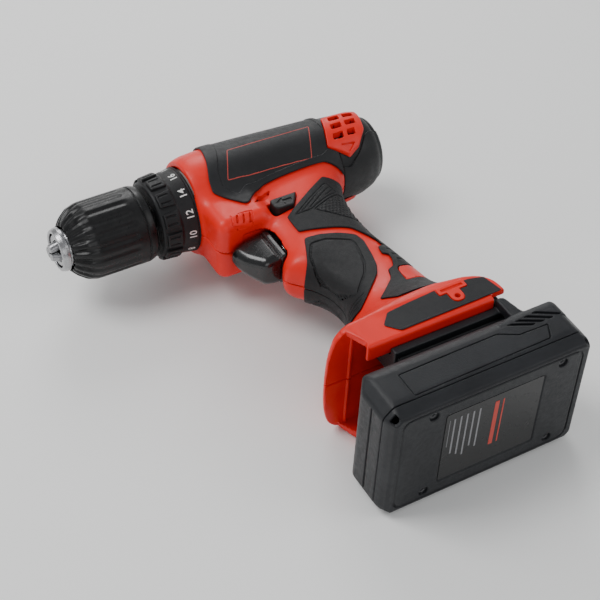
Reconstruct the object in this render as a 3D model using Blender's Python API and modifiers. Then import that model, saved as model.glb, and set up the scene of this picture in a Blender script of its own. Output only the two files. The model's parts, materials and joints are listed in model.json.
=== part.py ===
"""Cordless drill with a slide-on battery pack, lying on its right side.

Design frame, in millimetres: the spindle axis is X, the chuck points along -X, +Y is the
drill's top and +Z its left side. An empty moves that frame so that the bottom of the
drill, as it lies, is centred on the world origin.
"""
import math

import bmesh
import bpy
from mathutils import Matrix, Vector

MM = 0.001
GAP = 0.3                    # between pieces that touch
WALL = 2.6                   # moulded shells

# overall
PACK_HALF = 36.0             # half width of the battery pack, the widest piece
TOP = 26.9                   # highest point of the barrel over the spindle axis
BASE = -210.0                # underside of the battery pack
TIP = -112.0                 # tips of the closed jaws
REAR = 88.0                  # rear end of the barrel

# barrel: (x, radius), front to rear
BARREL = [(-33, 24.8), (-30, 25.7), (-19, 26.9), (0, 26.2), (27, 24.9), (55, 23.4)]
REAR_CAP = [(55.3, 23.4), (66, 22.6), (75, 21.2), (82, 18.2), (86.4, 13.6), (REAR, 8.0)]
BARREL_WIDTH = 1.09          # the barrel is this much wider than it is tall

# grip: (y, front x, back x, half width), top to bottom
GRIP = [
    (-12, -8, 56, 19.5), (-26, -8, 52, 19), (-34, -8, 47, 18.6), (-44, -8, 43.6, 18),
    (-58, -8, 41.6, 17.2), (-68, -9.5, 42, 17), (-77, -12, 43, 17), (-83, -7, 44, 17),
    (-90, -1, 45, 17.2), (-103, 4.2, 46.8, 17.8), (-114, 3.6, 48, 19), (-125, -3, 49.5, 22),
    (-135, -12, 53.5, 27.5), (-142, -20, 58.5, 32), (-146.5, -25, 61.5, 34),
]
GRIP_BACK_PAD = [
    (3.6, -49), (36.5, -29.5), (60, -32), (60, -137), (16, -137), (10, -130.5),
    (28, -118), (37, -104), (37, -90), (40, -83), (36.5, -78), (30, -71), (17, -65.5), (3.6, -61),
]
GRIP_SIDE_PAD = [
    (-30, -83), (-5, -83), (-1, -77), (3.8, -67.7), (16.9, -70.3), (30, -77.4), (31, -82),
    (27.6, -98.7), (22.3, -110), (6, -123.5), (0, -128), (-30, -128),
]
SIDE_PANEL = [
    (-16, 19.5), (-21.7, -3.8), (-26.4, -16.3), (-28, -21), (-16, -25.5), (-8.5, -22.5),
    (42.4, -20.4), (54.7, -22), (54.7, 16.5),
]
VENT_SHIELD = [(56.5, 6.5), (78.5, 8), (75.5, -8.5), (68, -16), (58, -19.5), (56.5, -13)]
PAD_THICKNESS = 1.3

# foot, which holds the battery
FOOT_FRONT, FOOT_REAR = -32.0, 63.0
FOOT_TOP, FOOT_CEILING, FOOT_RIM = -143.0, -150.0, -165.0
FOOT_HALF = 35.0
BAY_HALF = 31.0
LIP_HALF, LIP_TOP = 25.5, -162.0
BAY_FRONT, RIM_REAR = -16.0, 54.0
EMBLEM_X, EMBLEM_Y = (36.3, 43.7), (-159.0, -151.0)     # the belt clip's boss

# housing screws: x, y, half width of the housing there
SCREW_PLACES = [(-27, -37.5, 19.0), (37.5, -99, 16.5), (44, -139.5, 24.0)]
RECESS, BOSS_R = 5.0, 4.4

# gear train: tooth counts and module of both stages
MODULE = 0.75
SUN_TEETH, PLANET_TEETH, RING_TEETH = 12, 18, 48
CARRIER_R = MODULE * (SUN_TEETH + PLANET_TEETH) / 2
PLANETS = 3

# chuck
JAW_ANGLE = math.radians(16.7)
JAW_R, JAW_LENGTH, JAW_TIP_R = 2.6, 24.0, 1.2
JAWS = 3

# battery pack
PACK_FRONT, PACK_REAR = -34.0, 82.0
PACK_TOP, PACK_SEAM = -177.0, -202.2
CELL_R, CELL_HALF, CELL_PITCH, CELLS = 9.2, 32.6, 19.6, 5
CELL_Y, FIRST_CELL_X = -194.2, -15.2
PACK_SCREWS = [(-10, 27), (63.4, 27), (-10, -27), (63.4, -27)]      # x, z

BATTERY_LEAD_R, MOTOR_LEAD_R = 1.1, 0.8

ROUND = 24                   # sides of a round piece
BARREL_SIDES = 32
LAY_ALONG_X = Matrix(((0, 0, 1, 0), (1, 0, 0, 0), (0, 1, 0, 0), (0, 0, 0, 1)))  # XYZ to YZX

COLOURS = {
    "red": ((0.55, 0.025, 0.02), 0.42, 0.0),
    "overmould": ((0.022, 0.023, 0.025), 0.62, 0.0),
    "black": ((0.012, 0.012, 0.013), 0.3, 0.0),
    "pack": ((0.035, 0.037, 0.04), 0.5, 0.0),
    "steel": ((0.55, 0.55, 0.56), 0.32, 1.0),
    "dark_steel": ((0.16, 0.16, 0.17), 0.4, 1.0),
    "copper": ((0.72, 0.33, 0.16), 0.38, 1.0),
    "cell": ((0.05, 0.2, 0.42), 0.35, 0.0),
    "board": ((0.02, 0.16, 0.07), 0.45, 0.0),
    "nylon": ((0.5, 0.5, 0.47), 0.5, 0.0),
    "wire_red": ((0.5, 0.02, 0.02), 0.4, 0.0),
    "wire_black": ((0.02, 0.02, 0.02), 0.4, 0.0),
}


# ---------------------------------------------------------------- scene and helpers

def clear_scene():
    for thing in list(bpy.data.objects):
        bpy.data.objects.remove(thing)


def collection(name):
    made = bpy.data.collections.new(name)
    bpy.context.scene.collection.children.link(made)
    return made


clear_scene()
PARTS = collection("cordless_drill")
CUTTERS = collection("cutters")


def frame_empty():
    """The empty that centres the lying drill's underside on the world origin."""
    empty = bpy.data.objects.new("drill_frame", None)
    empty.location = Vector((-(TIP + REAR) / 2, -(TOP + BASE) / 2, PACK_HALF)) * MM
    PARTS.objects.link(empty)
    return empty


FRAME = frame_empty()


def material(kind):
    made = bpy.data.materials.get(kind)
    if made:
        return made
    colour, roughness, metallic = COLOURS[kind]
    made = bpy.data.materials.new(kind)
    made.use_nodes = True
    shader = made.node_tree.nodes["Principled BSDF"]
    shader.inputs["Base Color"].default_value = (*colour, 1)
    shader.inputs["Roughness"].default_value = roughness
    shader.inputs["Metallic"].default_value = metallic
    return made


def place(thing, kind=None):
    """Put an object in the parts' collection, or with the cutters if it has no material."""
    for group in list(thing.users_collection):
        group.objects.unlink(thing)
    if kind:
        PARTS.objects.link(thing)
        thing.data.materials.clear()
        thing.data.materials.append(material(kind))
    else:
        CUTTERS.objects.link(thing)
    thing.hide_render = not kind
    thing.display_type = "TEXTURED" if kind else "WIRE"
    thing.parent = FRAME
    return thing


def from_bmesh(name, bm, kind=None):
    mesh = bpy.data.meshes.new(name)
    bm.to_mesh(mesh)
    bm.free()
    return place(bpy.data.objects.new(name, mesh), kind)


def evaluated_mesh(thing):
    graph = bpy.context.evaluated_depsgraph_get()
    graph.update()
    return bpy.data.meshes.new_from_object(thing.evaluated_get(graph), depsgraph=graph)


def frozen(thing, kind=None):
    """Replace an object by its evaluated mesh, in the design frame."""
    mesh = evaluated_mesh(thing)
    mesh.transform(FRAME.matrix_world.inverted() @ thing.matrix_world)
    bm = bmesh.new()
    bm.from_mesh(mesh)
    bmesh.ops.remove_doubles(bm, verts=bm.verts, dist=1e-6)
    name = thing.name
    bpy.data.objects.remove(thing)
    return from_bmesh(name, bm, kind)


def box(name, x, y, z, kind=None, bevel=0.0, segments=2):
    """A box between pairs of coordinates, with rounded edges if bevel is given."""
    bm = bmesh.new()
    size = [(pair[1] - pair[0]) * MM for pair in (x, y, z)]
    centre = Vector([(pair[1] + pair[0]) / 2 * MM for pair in (x, y, z)])
    bmesh.ops.create_cube(bm, size=1, matrix=Matrix.Translation(centre) @ Matrix.Diagonal((*size, 1)))
    made = from_bmesh(name, bm, kind)
    if bevel:
        add_bevel(made, bevel, segments)
    return made


def add_bevel(thing, width, segments=2):
    rounding = thing.modifiers.new("edges", "BEVEL")
    rounding.width = width * MM
    rounding.segments = segments
    rounding.limit_method = "ANGLE"


def rod(name, start, end, radius, kind=None, sides=ROUND, radius_end=None):
    """A cylinder or cone between two points."""
    start, end = Vector(start) * MM, Vector(end) * MM
    turn = (end - start).to_track_quat("Z", "Y").to_matrix().to_4x4()
    bm = bmesh.new()
    bmesh.ops.create_cone(
        bm, cap_ends=True, segments=sides, radius1=radius * MM,
        radius2=(radius if radius_end is None else radius_end) * MM, depth=(end - start).length,
        matrix=Matrix.Translation((start + end) / 2) @ turn)
    return from_bmesh(name, bm, kind)


def turned(name, profile, kind=None, closed=False, sides=ROUND, width=1.0):
    """Turn (x, radius) points, listed front to rear on the outer side, about the X axis."""
    bm = bmesh.new()
    ring = [bm.verts.new((r * MM, 0, -x * MM)) for x, r in profile]
    for a, b in zip(ring, ring[1:] + ring[:1] if closed else ring[1:]):
        bm.edges.new((a, b))
    made = from_bmesh(name, bm, kind)
    screw = made.modifiers.new("turn", "SCREW")
    screw.steps = screw.render_steps = sides
    screw.use_merge_vertices = True
    screw.merge_threshold = 1e-6
    screw.use_smooth_shade = True
    made.rotation_euler = (0, -math.pi / 2, 0)
    if width != 1.0:
        bpy.context.view_layer.update()
        made = frozen(made, kind)
        made.data.transform(Matrix.Diagonal((1, 1, width, 1)))
    return made


def prism(name, outline, z0, z1, kind=None):
    """A flat outline in X and Y, extruded between two heights and made a mesh."""
    curve = bpy.data.curves.new(name, "CURVE")
    curve.dimensions = "2D"
    curve.fill_mode = "BOTH"
    curve.extrude = (z1 - z0) / 2 * MM
    spline = curve.splines.new("POLY")
    spline.points.add(len(outline) - 1)
    for point, (x, y) in zip(spline.points, outline):
        point.co = (x * MM, y * MM, 0, 1)
    spline.use_cyclic_u = True
    made = place(bpy.data.objects.new(name, curve))
    made.location.z = (z0 + z1) / 2 * MM
    bpy.context.view_layer.update()
    return frozen(made, kind)


def boolean(thing, other, operation="DIFFERENCE"):
    """Cut or join an object with another, which is used up, and keep the faces flat."""
    step = thing.modifiers.new(operation.lower(), "BOOLEAN")
    step.operation = operation
    step.solver = "EXACT"
    step.object = other
    bpy.context.view_layer.update()
    mesh = evaluated_mesh(thing)
    bm = bmesh.new()
    bm.from_mesh(mesh)
    bmesh.ops.triangulate(bm, faces=bm.faces)
    bmesh.ops.dissolve_degenerate(bm, edges=bm.edges, dist=1e-7)
    bm.to_mesh(mesh)
    bm.free()
    thing.modifiers.clear()
    thing.data = mesh
    bpy.data.objects.remove(other)
    return thing


def joined(name, first, others, kind=None):
    """Union of an object with others, as one mesh."""
    for other in others:
        boolean(first, other, "UNION")
    first.name = name
    return place(first, kind)


def set_origin(thing, point):
    """Move a mesh object's origin to a point of the design frame."""
    offset = Vector(point) * MM
    thing.data.transform(Matrix.Translation(-offset))
    thing.location = offset
    return thing


def tube_profile(stations, inner, outer):
    """A closed profile along a list of (x, radius) stations, between two offsets from it."""
    return [(x, r + outer) for x, r in stations] + [(x, r + inner) for x, r in reversed(stations)]


def axis_profile(stations, grow=0.0):
    """A solid's profile along stations, closed onto the axis at both ends."""
    return [(stations[0][0], 0)] + [(x, r + grow) for x, r in stations] + [(stations[-1][0], 0)]


# ---------------------------------------------------------------- housing

def superellipse(a, b, count=20, power=2.7):
    """Points of a rounded rectangle of half sizes a and b."""
    points = []
    for i in range(count):
        angle = 2 * math.pi * i / count
        c, s = math.cos(angle), math.sin(angle)
        x = a * math.copysign(abs(c) ** (2 / power), c)
        points.append((x, b * math.copysign(abs(s) ** (2 / power), s)))
    return points


def grip_body(name, grow=0.0, trim=0.0):
    """The grip, lofted through its sections; trim shortens its lower end."""
    bm = bmesh.new()
    rings = []
    for y, front, back, half in GRIP:
        section = superellipse((back - front) / 2 + grow, half + grow)
        centre = (front + back) / 2
        height = max(y, GRIP[-1][0] + trim)
        rings.append([bm.verts.new(((centre + x) * MM, height * MM, z * MM)) for x, z in section])
    for upper, lower in zip(rings, rings[1:]):
        for i in range(len(upper)):
            j = (i + 1) % len(upper)
            bm.faces.new((upper[i], upper[j], lower[j], lower[i]))
    bm.faces.new(list(reversed(rings[0])))
    bm.faces.new(rings[-1])
    bmesh.ops.recalc_face_normals(bm, faces=bm.faces)
    return from_bmesh(name, bm)


def housing_outer():
    barrel = turned("barrel_outer", axis_profile(BARREL), sides=BARREL_SIDES, width=BARREL_WIDTH)
    chin = box("chin_outer", (-33, -2), (-44, -8), (-20, 20), bevel=6, segments=3)
    grip = grip_body("grip_outer")
    foot = box("foot_outer", (FOOT_FRONT, FOOT_REAR), (FOOT_RIM, FOOT_TOP), (-FOOT_HALF, FOOT_HALF),
               bevel=2.5)
    boss = box("clip_boss", EMBLEM_X, EMBLEM_Y, (-PACK_HALF, PACK_HALF))
    return joined("housing_body", barrel, [chin, grip, foot, boss])


def housing_inner():
    stations = [(-34, BARREL[0][1])] + BARREL[1:-1] + [(56, BARREL[-1][1])]
    barrel = turned("barrel_inner", axis_profile(stations, -WALL), sides=BARREL_SIDES, width=BARREL_WIDTH)
    chin = box("chin_inner", (-33 + WALL, -2), (-44 + WALL, -8), (-20 + WALL, 20 - WALL),
               bevel=4, segments=3)
    grip = grip_body("grip_inner", -WALL, trim=-1.0)
    return joined("housing_hollow", barrel, [chin, grip])


def housing_cuts():
    """Openings: trigger, direction switch, battery bay, terminals, wedge notch, screws."""
    cuts = [
        box("trigger_opening", (-20, 1), (-68.8, -43.2), (-10.4, 10.4)),
        box("direction_opening", (-1, 17.6), (-44.6, -35.0), (-40, 40)),
        box("bay_upper", (BAY_FRONT - 20, 80), (LIP_TOP, FOOT_CEILING), (-BAY_HALF, BAY_HALF)),
        box("bay_lower", (BAY_FRONT - 20, 80), (FOOT_RIM - 5, LIP_TOP + 1), (-LIP_HALF, LIP_HALF)),
        box("bay_front", (FOOT_FRONT - 5, BAY_FRONT), (FOOT_RIM - 5, FOOT_CEILING), (-40, 40)),
        box("wedge_notch", (RIM_REAR, 80), (FOOT_RIM - 5, -161), (-40, 40)),
        box("terminal_opening", (11.5, 28.5), (-155, -140), (-8.4, 8.4)),
    ]
    for number, (x, y, depth) in enumerate(SCREW_PLACES, 1):
        cuts.append(rod(f"screw_hole_{number}", (x, y, -60), (x, y, 12), 1.4, sides=10))
        cuts.append(rod(f"screw_recess_{number}", (x, y, -60), (x, y, RECESS - depth), 3.0, sides=12))
    return cuts


def make_housing():
    body = housing_outer()
    boolean(body, housing_inner())
    ceiling = box("ceiling", (-24, 60), (FOOT_CEILING, FOOT_CEILING + WALL), (-33, 33))
    bosses = []
    for number, (x, y, depth) in enumerate(SCREW_PLACES, 1):
        reach = depth - WALL - 0.6
        bosses.append(rod(f"boss_{number}", (x, y, -reach), (x, y, reach), BOSS_R, sides=12))
    for solid in [ceiling] + bosses:
        boolean(body, solid, "UNION")
    for cutter in housing_cuts():
        boolean(body, cutter)
    for side, low, high in (("left", GAP / 2, 60), ("right", -60, -GAP / 2)):
        half = place(bpy.data.objects.new(f"housing_{side}", body.data.copy()), "red")
        boolean(half, box(f"keep_{side}", (-60, 110), (-180, 60), (low, high)), "INTERSECT")
    bpy.data.objects.remove(body)


def make_housing_screws():
    for number, (x, y, depth) in enumerate(SCREW_PLACES, 1):
        head = RECESS - depth - GAP
        screw = rod(f"housing_screw_{number}", (x, y, head - 2.4), (x, y, head), 2.6, sides=12)
        shank = rod("shank", (x, y, head - 1), (x, y, 11), 1.1, sides=8)
        joined(f"housing_screw_{number}", screw, [shank], "steel")


# ---------------------------------------------------------------- panels and pads

def make_side_panels():
    for side, low, high in (("left", 6, 45), ("right", -45, -6)):
        panel = turned(f"side_panel_{side}", tube_profile(BARREL, GAP, PAD_THICKNESS), "overmould",
                       closed=True, sides=BARREL_SIDES, width=BARREL_WIDTH)
        boolean(panel, prism(f"side_outline_{side}", SIDE_PANEL, low, high), "INTERSECT")
        boolean(panel, grip_body("grip_clearance", GAP))
        boolean(panel, box("chin_clearance", (-40, 0), (-44, -8), (-20 - GAP, 20 + GAP)))


def make_rear_cap():
    cap = turned("rear_cap", axis_profile(REAR_CAP), "overmould", sides=BARREL_SIDES, width=BARREL_WIDTH)
    hollow = [(55, REAR_CAP[0][1])] + REAR_CAP[1:-1] + [(REAR - WALL, 4.0)]
    boolean(cap, turned("rear_hollow", axis_profile(hollow, -WALL), sides=BARREL_SIDES, width=BARREL_WIDTH))
    for cutter in vent_slots(-40, 40, "cap_slot"):
        boolean(cap, cutter)


def vent_slots(low, high, name):
    """The slots that let the motor's cooling air out, three rows of two."""
    slots = []
    for row in range(3):
        for column in range(2):
            x = 59.5 + 8.6 * column - 0.6 * row
            y = 3.6 - 6.4 * row
            slots.append(box(f"{name}_{row}_{column}", (x, x + 7.0), (y - 3.2, y), (low, high)))
    return slots


def make_vent_shields():
    for side, low, high in (("left", 6, 45), ("right", -45, -6)):
        shield = turned(f"vent_shield_{side}", tube_profile(REAR_CAP[:4], GAP, PAD_THICKNESS + 0.5), "red",
                        closed=True, sides=BARREL_SIDES, width=BARREL_WIDTH)
        boolean(shield, prism(f"vent_outline_{side}", VENT_SHIELD, low, high), "INTERSECT")
        for cutter in vent_slots(low, high, f"shield_slot_{side}"):
            boolean(shield, cutter)


def make_grip_pads():
    outer, inner = grip_body("pad_outer", PAD_THICKNESS), grip_body("pad_inner", GAP)
    boolean(outer, inner)
    for name, outline, low, high in (
            ("grip_pad_left", GRIP_SIDE_PAD, GAP / 2, 40), ("grip_pad_right", GRIP_SIDE_PAD, -40, -GAP / 2),
            ("grip_back_pad", GRIP_BACK_PAD, -40, 40)):
        pad = place(bpy.data.objects.new(name, outer.data.copy()), "overmould")
        boolean(pad, prism(f"{name}_outline", outline, low, high), "INTERSECT")
    bpy.data.objects.remove(outer)


def make_foot_panels():
    outline = [(-4.5, -155), (1.5, -149), (31.5, -146.5), (53, -147.5), (59.5, -159.5), (-1, -159.5)]
    for side, sign in (("left", 1), ("right", -1)):
        low, high = sorted((sign * (FOOT_HALF + GAP), sign * (FOOT_HALF + 0.95)))
        panel = prism(f"foot_panel_{side}", outline, low, high, "overmould")
        gap = [(pair[0] - GAP, pair[1] + GAP) for pair in (EMBLEM_X, EMBLEM_Y)]
        boolean(panel, box(f"clip_gap_{side}", *gap, (low - 1, high + 1)))


# ---------------------------------------------------------------- chuck and clutch

def make_chuck():
    sleeve = [(-103.5, 12.6), (-101, 15.6), (-96, 19.6), (-91, 21.4), (-59, 21.4), (-57.2, 20.2),
              (-57.2, 18.2), (-88, 18.2), (-97.4, 14.6), (-103.5, 11.6)]
    turned("chuck_sleeve", sleeve, "black", closed=True, sides=BARREL_SIDES)
    nose = [(-107.9, 8.8), (-103.2, 10.6), (-98, 10.9), (-97.2, 8.4), (-89, 10.2), (-88, 14.4), (-60, 17.8),
            (-56.8, 17.8), (-56.8, 5.3), (-66.2, 5.3), (-66.2, 2.5), (-70, 2.5), (-70, 5.6), (-107.9, 5.6)]
    body = turned("chuck_body", nose, "steel", closed=True)
    for number in range(JAWS):
        boolean(body, jaw_rod(f"jaw_channel_{number + 1}", number, JAW_R + GAP, 3.0, 46.0))
    turned("chuck_nut", [(-96.4, 12.4), (-90, 16.4), (-89.6, 16.4), (-89.6, 11.4), (-96.4, 9.4)],
           "dark_steel", closed=True)
    turned("nose_ring", [(-108.6, 11.0), (-104.2, 12.2), (-104.2, 11.0), (-108.2, 9.4)],
           "steel", closed=True)
    turned("chuck_screw", [(-73.6, 0), (-73.6, 3.6), (-70.3, 3.6), (-70.3, 2.0), (-56, 2.0), (-56, 0)],
           "dark_steel", sides=20)
    for number in range(JAWS):
        make_jaw(number)


def jaw_turn(number):
    return Matrix.Rotation(2 * math.pi * number / JAWS + math.pi / 2, 4, "X")


def jaw_line(number, distance):
    """A point on a jaw's axis, at a distance behind the closed jaws' tips."""
    local = Vector((TIP + distance * math.cos(JAW_ANGLE), JAW_TIP_R + distance * math.sin(JAW_ANGLE), 0))
    return jaw_turn(number) @ local


def jaw_rod(name, number, radius, before, after, kind=None):
    return rod(name, jaw_line(number, -before), jaw_line(number, after), radius, kind, sides=14)


def make_jaw(number):
    """One jaw: a slanted rod whose inner side is a 120 degree wedge on the chuck's axis."""
    name = f"jaw_{number + 1}"
    jaw = jaw_rod(name, number, JAW_R, 4.0, JAW_LENGTH, "steel")
    reach = 9.0
    edge = GAP + 0.05
    slope = math.tan(math.radians(60)) * (reach - edge)
    wedge = prism(f"{name}_wedge", [(edge, 0), (reach, -slope), (reach, slope)], TIP, TIP + 40)
    # the prism stands on Z: lay it along X, its apex on the axis and its opening along local Y
    wedge.data.transform(jaw_turn(number) @ LAY_ALONG_X)
    boolean(jaw, wedge, "INTERSECT")


def make_clutch():
    turned("clutch_ring", [
        (-54.9, 18.5), (-54.2, 20.8), (-50.5, 22.2), (-33.4, 24.4), (-33.4, 21.5),
        (-51, 18.6), (-51, 13.2), (-54.9, 13.2)], "black", closed=True, sides=BARREL_SIDES)
    make_coil("clutch_spring", (-50.4, 0, 0), (-36.8, 0, 0), 15.2, 1.0, 3, "steel")


def make_coil(name, start, end, radius, wire, turns, kind):
    """A compression spring, a round wire on a helix along X or Y."""
    start, end = Vector(start), Vector(end)
    axis = (end - start).normalized()
    side = Vector((0, 0, 1))
    up = axis.cross(side)
    steps = 11 * turns
    length = (end - start).length - 2 * wire
    points = []
    for i in range(steps + 1):
        angle = 2 * math.pi * turns * i / steps
        along = start + axis * (wire + length * i / steps)
        points.append(along + (side * math.cos(angle) + up * math.sin(angle)) * radius)
    return wire_along(name, points, wire, kind)


def wire_along(name, points, radius, kind):
    """A round wire through a list of points, its ends closed."""
    curve = bpy.data.curves.new(name, "CURVE")
    curve.dimensions = "3D"
    curve.bevel_depth = radius * MM
    curve.bevel_resolution = 1
    curve.use_fill_caps = True
    spline = curve.splines.new("POLY")
    spline.points.add(len(points) - 1)
    for point, at in zip(spline.points, points):
        point.co = (*(Vector(at) * MM), 1)
    return place(bpy.data.objects.new(name, curve), kind)


# ---------------------------------------------------------------- gearbox

def gear_outline(teeth, inward=False):
    """Trapezoidal teeth on the pitch circle, thin enough to leave backlash."""
    pitch = MODULE * teeth / 2
    tip, root = (pitch - 0.5, pitch + 0.95) if inward else (pitch + 0.5, pitch - 0.95)
    points = []
    for i in range(teeth):
        for share, radius in ((-0.5, root), (-0.08, tip), (0.08, tip)):
            angle = 2 * math.pi * (i + share) / teeth
            points.append((radius * math.cos(angle), radius * math.sin(angle)))
    return points


def gear(name, teeth, x0, x1, kind, y=0.0, z=0.0, phase=0.0, bore=0.0):
    """A spur gear on an axis parallel to X; phase turns it by a share of a tooth."""
    made = prism(name, gear_outline(teeth), x0, x1, kind)
    made.data.transform(Matrix.Rotation(2 * math.pi * phase / teeth, 4, "X") @ LAY_ALONG_X)
    made.location = Vector((0, y, z)) * MM
    if bore:
        boolean(made, rod(f"{name}_bore", (x0 - 5, y, z), (x1 + 5, y, z), bore, sides=10))
    return made


def planet_places():
    for number in range(PLANETS):
        angle = 2 * math.pi * number / PLANETS
        yield number + 1, CARRIER_R * math.cos(angle), CARRIER_R * math.sin(angle)


def make_carrier(name, disc, pins, extra):
    """A disc with three pins for its planets; extra pieces are joined to it."""
    body = rod(name, (disc[0], 0, 0), (disc[1], 0, 0), 15.2)
    parts = [rod("pin", (pins[0], y, z), (pins[1], y, z), 1.7, sides=16) for _, y, z in planet_places()]
    return joined(name, body, parts + extra, "dark_steel")


def make_gearbox():
    turned("gear_case", [
        (-52.0, 12.2), (-33.3, 12.2), (-33.3, 21.6), (5.0, 21.6), (5.0, 19.8), (-29.5, 19.8), (-29.5, 6.0),
        (-43.4, 6.0), (-43.4, 9.9), (-52.0, 9.9)], "nylon", closed=True, sides=BARREL_SIDES)
    ring_gear()
    make_carrier("output_carrier", (-14.2, -11.2), (-11.5, -4.9),
                 [rod("spindle_seat", (-16.5, 0, 0), (-14, 0, 0), 7.0)])
    sun = gear("second_sun", SUN_TEETH, -10.6, -4.0, None)
    make_carrier("first_carrier", (-4.4, -2.2), (-2.5, 3.4), [sun])
    for stage, x0, x1 in (("second", -10.7, -5.1), ("first", -1.9, 3.2)):
        for number, y, z in planet_places():
            # half a tooth of turn puts a gap where the sun and the ring have a tooth
            gear(f"{stage}_planet_{number}", PLANET_TEETH, x0, x1, "steel", y, z, phase=0.5, bore=2.0)
    gear("motor_pinion", SUN_TEETH, -1.9, 4.6, "steel", bore=1.9)
    turned("spindle", [(-66.0, 4.9), (-16.8, 4.9), (-16.8, 0), (-55.4, 0), (-55.4, 2.4), (-66.0, 2.4)],
           "steel", closed=True, sides=24)
    turned("spindle_bearing", [(-50.5, 9.5), (-43.8, 9.5), (-43.8, 5.2), (-50.5, 5.2)], "steel", closed=True)


def ring_gear():
    """The fixed ring that both stages' planets run in."""
    ring = rod("ring_gear", (-11.0, 0, 0), (3.6, 0, 0), 19.5, "steel", sides=BARREL_SIDES)
    teeth = prism("ring_teeth", gear_outline(RING_TEETH, inward=True), -20, 20)
    teeth.data.transform(LAY_ALONG_X)
    boolean(ring, teeth)


# ---------------------------------------------------------------- motor

def make_motor():
    shell = [(7.3, 17.9), (60.0, 17.9), (60.0, 16.5), (8.7, 16.5), (8.7, 3.4), (7.3, 3.4)]
    can = turned("motor_can", shell, closed=True)
    magnets = turned("magnets", [(14, 17.0), (50, 17.0), (50, 13.5), (14, 13.5)], closed=True)
    boolean(magnets, box("magnet_gap", (0, 60), (-30, 30), (-5, 5)))
    joined("motor_can", can, [magnets], "dark_steel")
    bell = turned("motor_end_bell", [(60.3, 17.9), (65.0, 17.9), (66.5, 14), (66.5, 2.0), (60.3, 2.0)],
                  closed=True)
    brushes = [box("brush", (52.5, 61.0), (y - 3.4, y + 3.4), (-2.2, 2.2)) for y in (8.6, -8.6)]
    joined("motor_end_bell", bell, brushes, "black")
    turned("rotor", [
        (-1.8, 0), (-1.8, 1.55), (17.0, 1.55), (17.0, 12.9), (49.0, 12.9), (49.0, 4.8), (58.5, 4.8),
        (58.5, 1.55), (69.5, 1.55), (69.5, 0)], "copper", sides=24)
    make_fan()


def make_fan():
    hub = rod("cooling_fan", (9.8, 0, 0), (11.0, 0, 0), 14.0, sides=24)
    blades = []
    for number in range(8):
        blade = box("blade", (10.8, 13.4), (5.0, 13.6), (-0.5, 0.5))
        blade.data.transform(Matrix.Rotation(2 * math.pi * number / 8, 4, "X"))
        blades.append(blade)
    fan = joined("cooling_fan", hub, blades, "black")
    boolean(fan, rod("fan_bore", (5, 0, 0), (20, 0, 0), 1.85, sides=16))


# ---------------------------------------------------------------- trigger and electrics

def make_trigger():
    outline = [(-9, -44.6), (-25, -44.6), (-28.6, -47), (-28.4, -51), (-26.2, -57), (-22.8, -62.5),
               (-19.4, -67.4), (-16.5, -68.2), (-9, -68.2)]
    body = prism("trigger", outline, -9.8, 9.8)
    add_bevel(body, 2.2, 2)
    body = frozen(body)
    stem = rod("stem", (-12, -56, 0), (6.0, -56, 0), 2.4, sides=16)
    trigger = joined("trigger", body, [stem], "black")
    set_origin(trigger, (-9, -56, 0))
    module = box("switch_module", (2.2, 30), (-66, -46), (-9, 9), "black", bevel=1)
    boolean(module, rod("stem_hole", (0, -56, 0), (14.5, -56, 0), 2.8, sides=16))
    make_coil("trigger_spring", (-8.6, -56, 0), (1.9, -56, 0), 4.2, 0.45, 4, "steel")
    make_direction_switch()


def make_direction_switch():
    """A bar through the housing, pushed from either side."""
    outline = [(-0.3, -40.5), (0.6, -43.4), (3, -44.2), (11, -44.2), (17, -35.6), (2.4, -35.6),
               (0.2, -37.4)]
    bar = prism("direction_switch", outline, -20.6, 20.6, "black")
    set_origin(bar, (8, -40, 0))


def smoothed(points):
    """One round of Chaikin's corner cutting, which keeps the two ends."""
    points = [Vector(p) for p in points]
    cut = [points[0]]
    for a, b in zip(points, points[1:]):
        cut += [a.lerp(b, 0.25), a.lerp(b, 0.75)]
    return cut + [points[-1]]


def make_electrics():
    fixed = [box("neck", (12, 28), (-152, -142.5), (-8, 8))]
    fixed += [box("blade", (29, 40), (-157.2, -153), (z - 0.5, z + 0.5)) for z in (5.5, -5.5)]
    block = box("terminal_block", (10, 30), (-160, FOOT_CEILING - GAP), (-11, 11))
    joined("terminal_block", block, fixed, "black")
    for name, z, kind in (("battery_lead_red", 4.5, "wire_red"), ("battery_lead_black", -4.5, "wire_black")):
        route = [(20, -142.2, z), (20, -130, z), (24, -112, z), (22, -90, z), (16, -74, z), (16, -70.3, z)]
        wire_along(name, smoothed(route), BATTERY_LEAD_R, kind)
    for name, z, kind in (("motor_lead_red", 5, "wire_red"), ("motor_lead_black", -5, "wire_black")):
        route = [(30.3, -58, z), (34.5, -58, z), (37, -40, z), (42, -28, z), (46, -18.4, z),
                 (60, -18.4, z), (69, -17.5, z), (69, -10, z), (66.8, -10, z)]
        wire_along(name, smoothed(route), MOTOR_LEAD_R, kind)


# ---------------------------------------------------------------- battery pack

def pack_body(name, front, rear, half, low, high, chamfer):
    """A block with chamfered corners, seen along Y."""
    outline = [
        (front + chamfer, -half), (rear - chamfer, -half), (rear, -half + chamfer), (rear, half - chamfer),
        (rear - chamfer, half), (front + chamfer, half), (front, half - chamfer), (front, -half + chamfer)]
    made = prism(name, outline, -high, -low)
    made.data.transform(Matrix.Rotation(math.pi / 2, 4, "X"))
    return made


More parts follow.
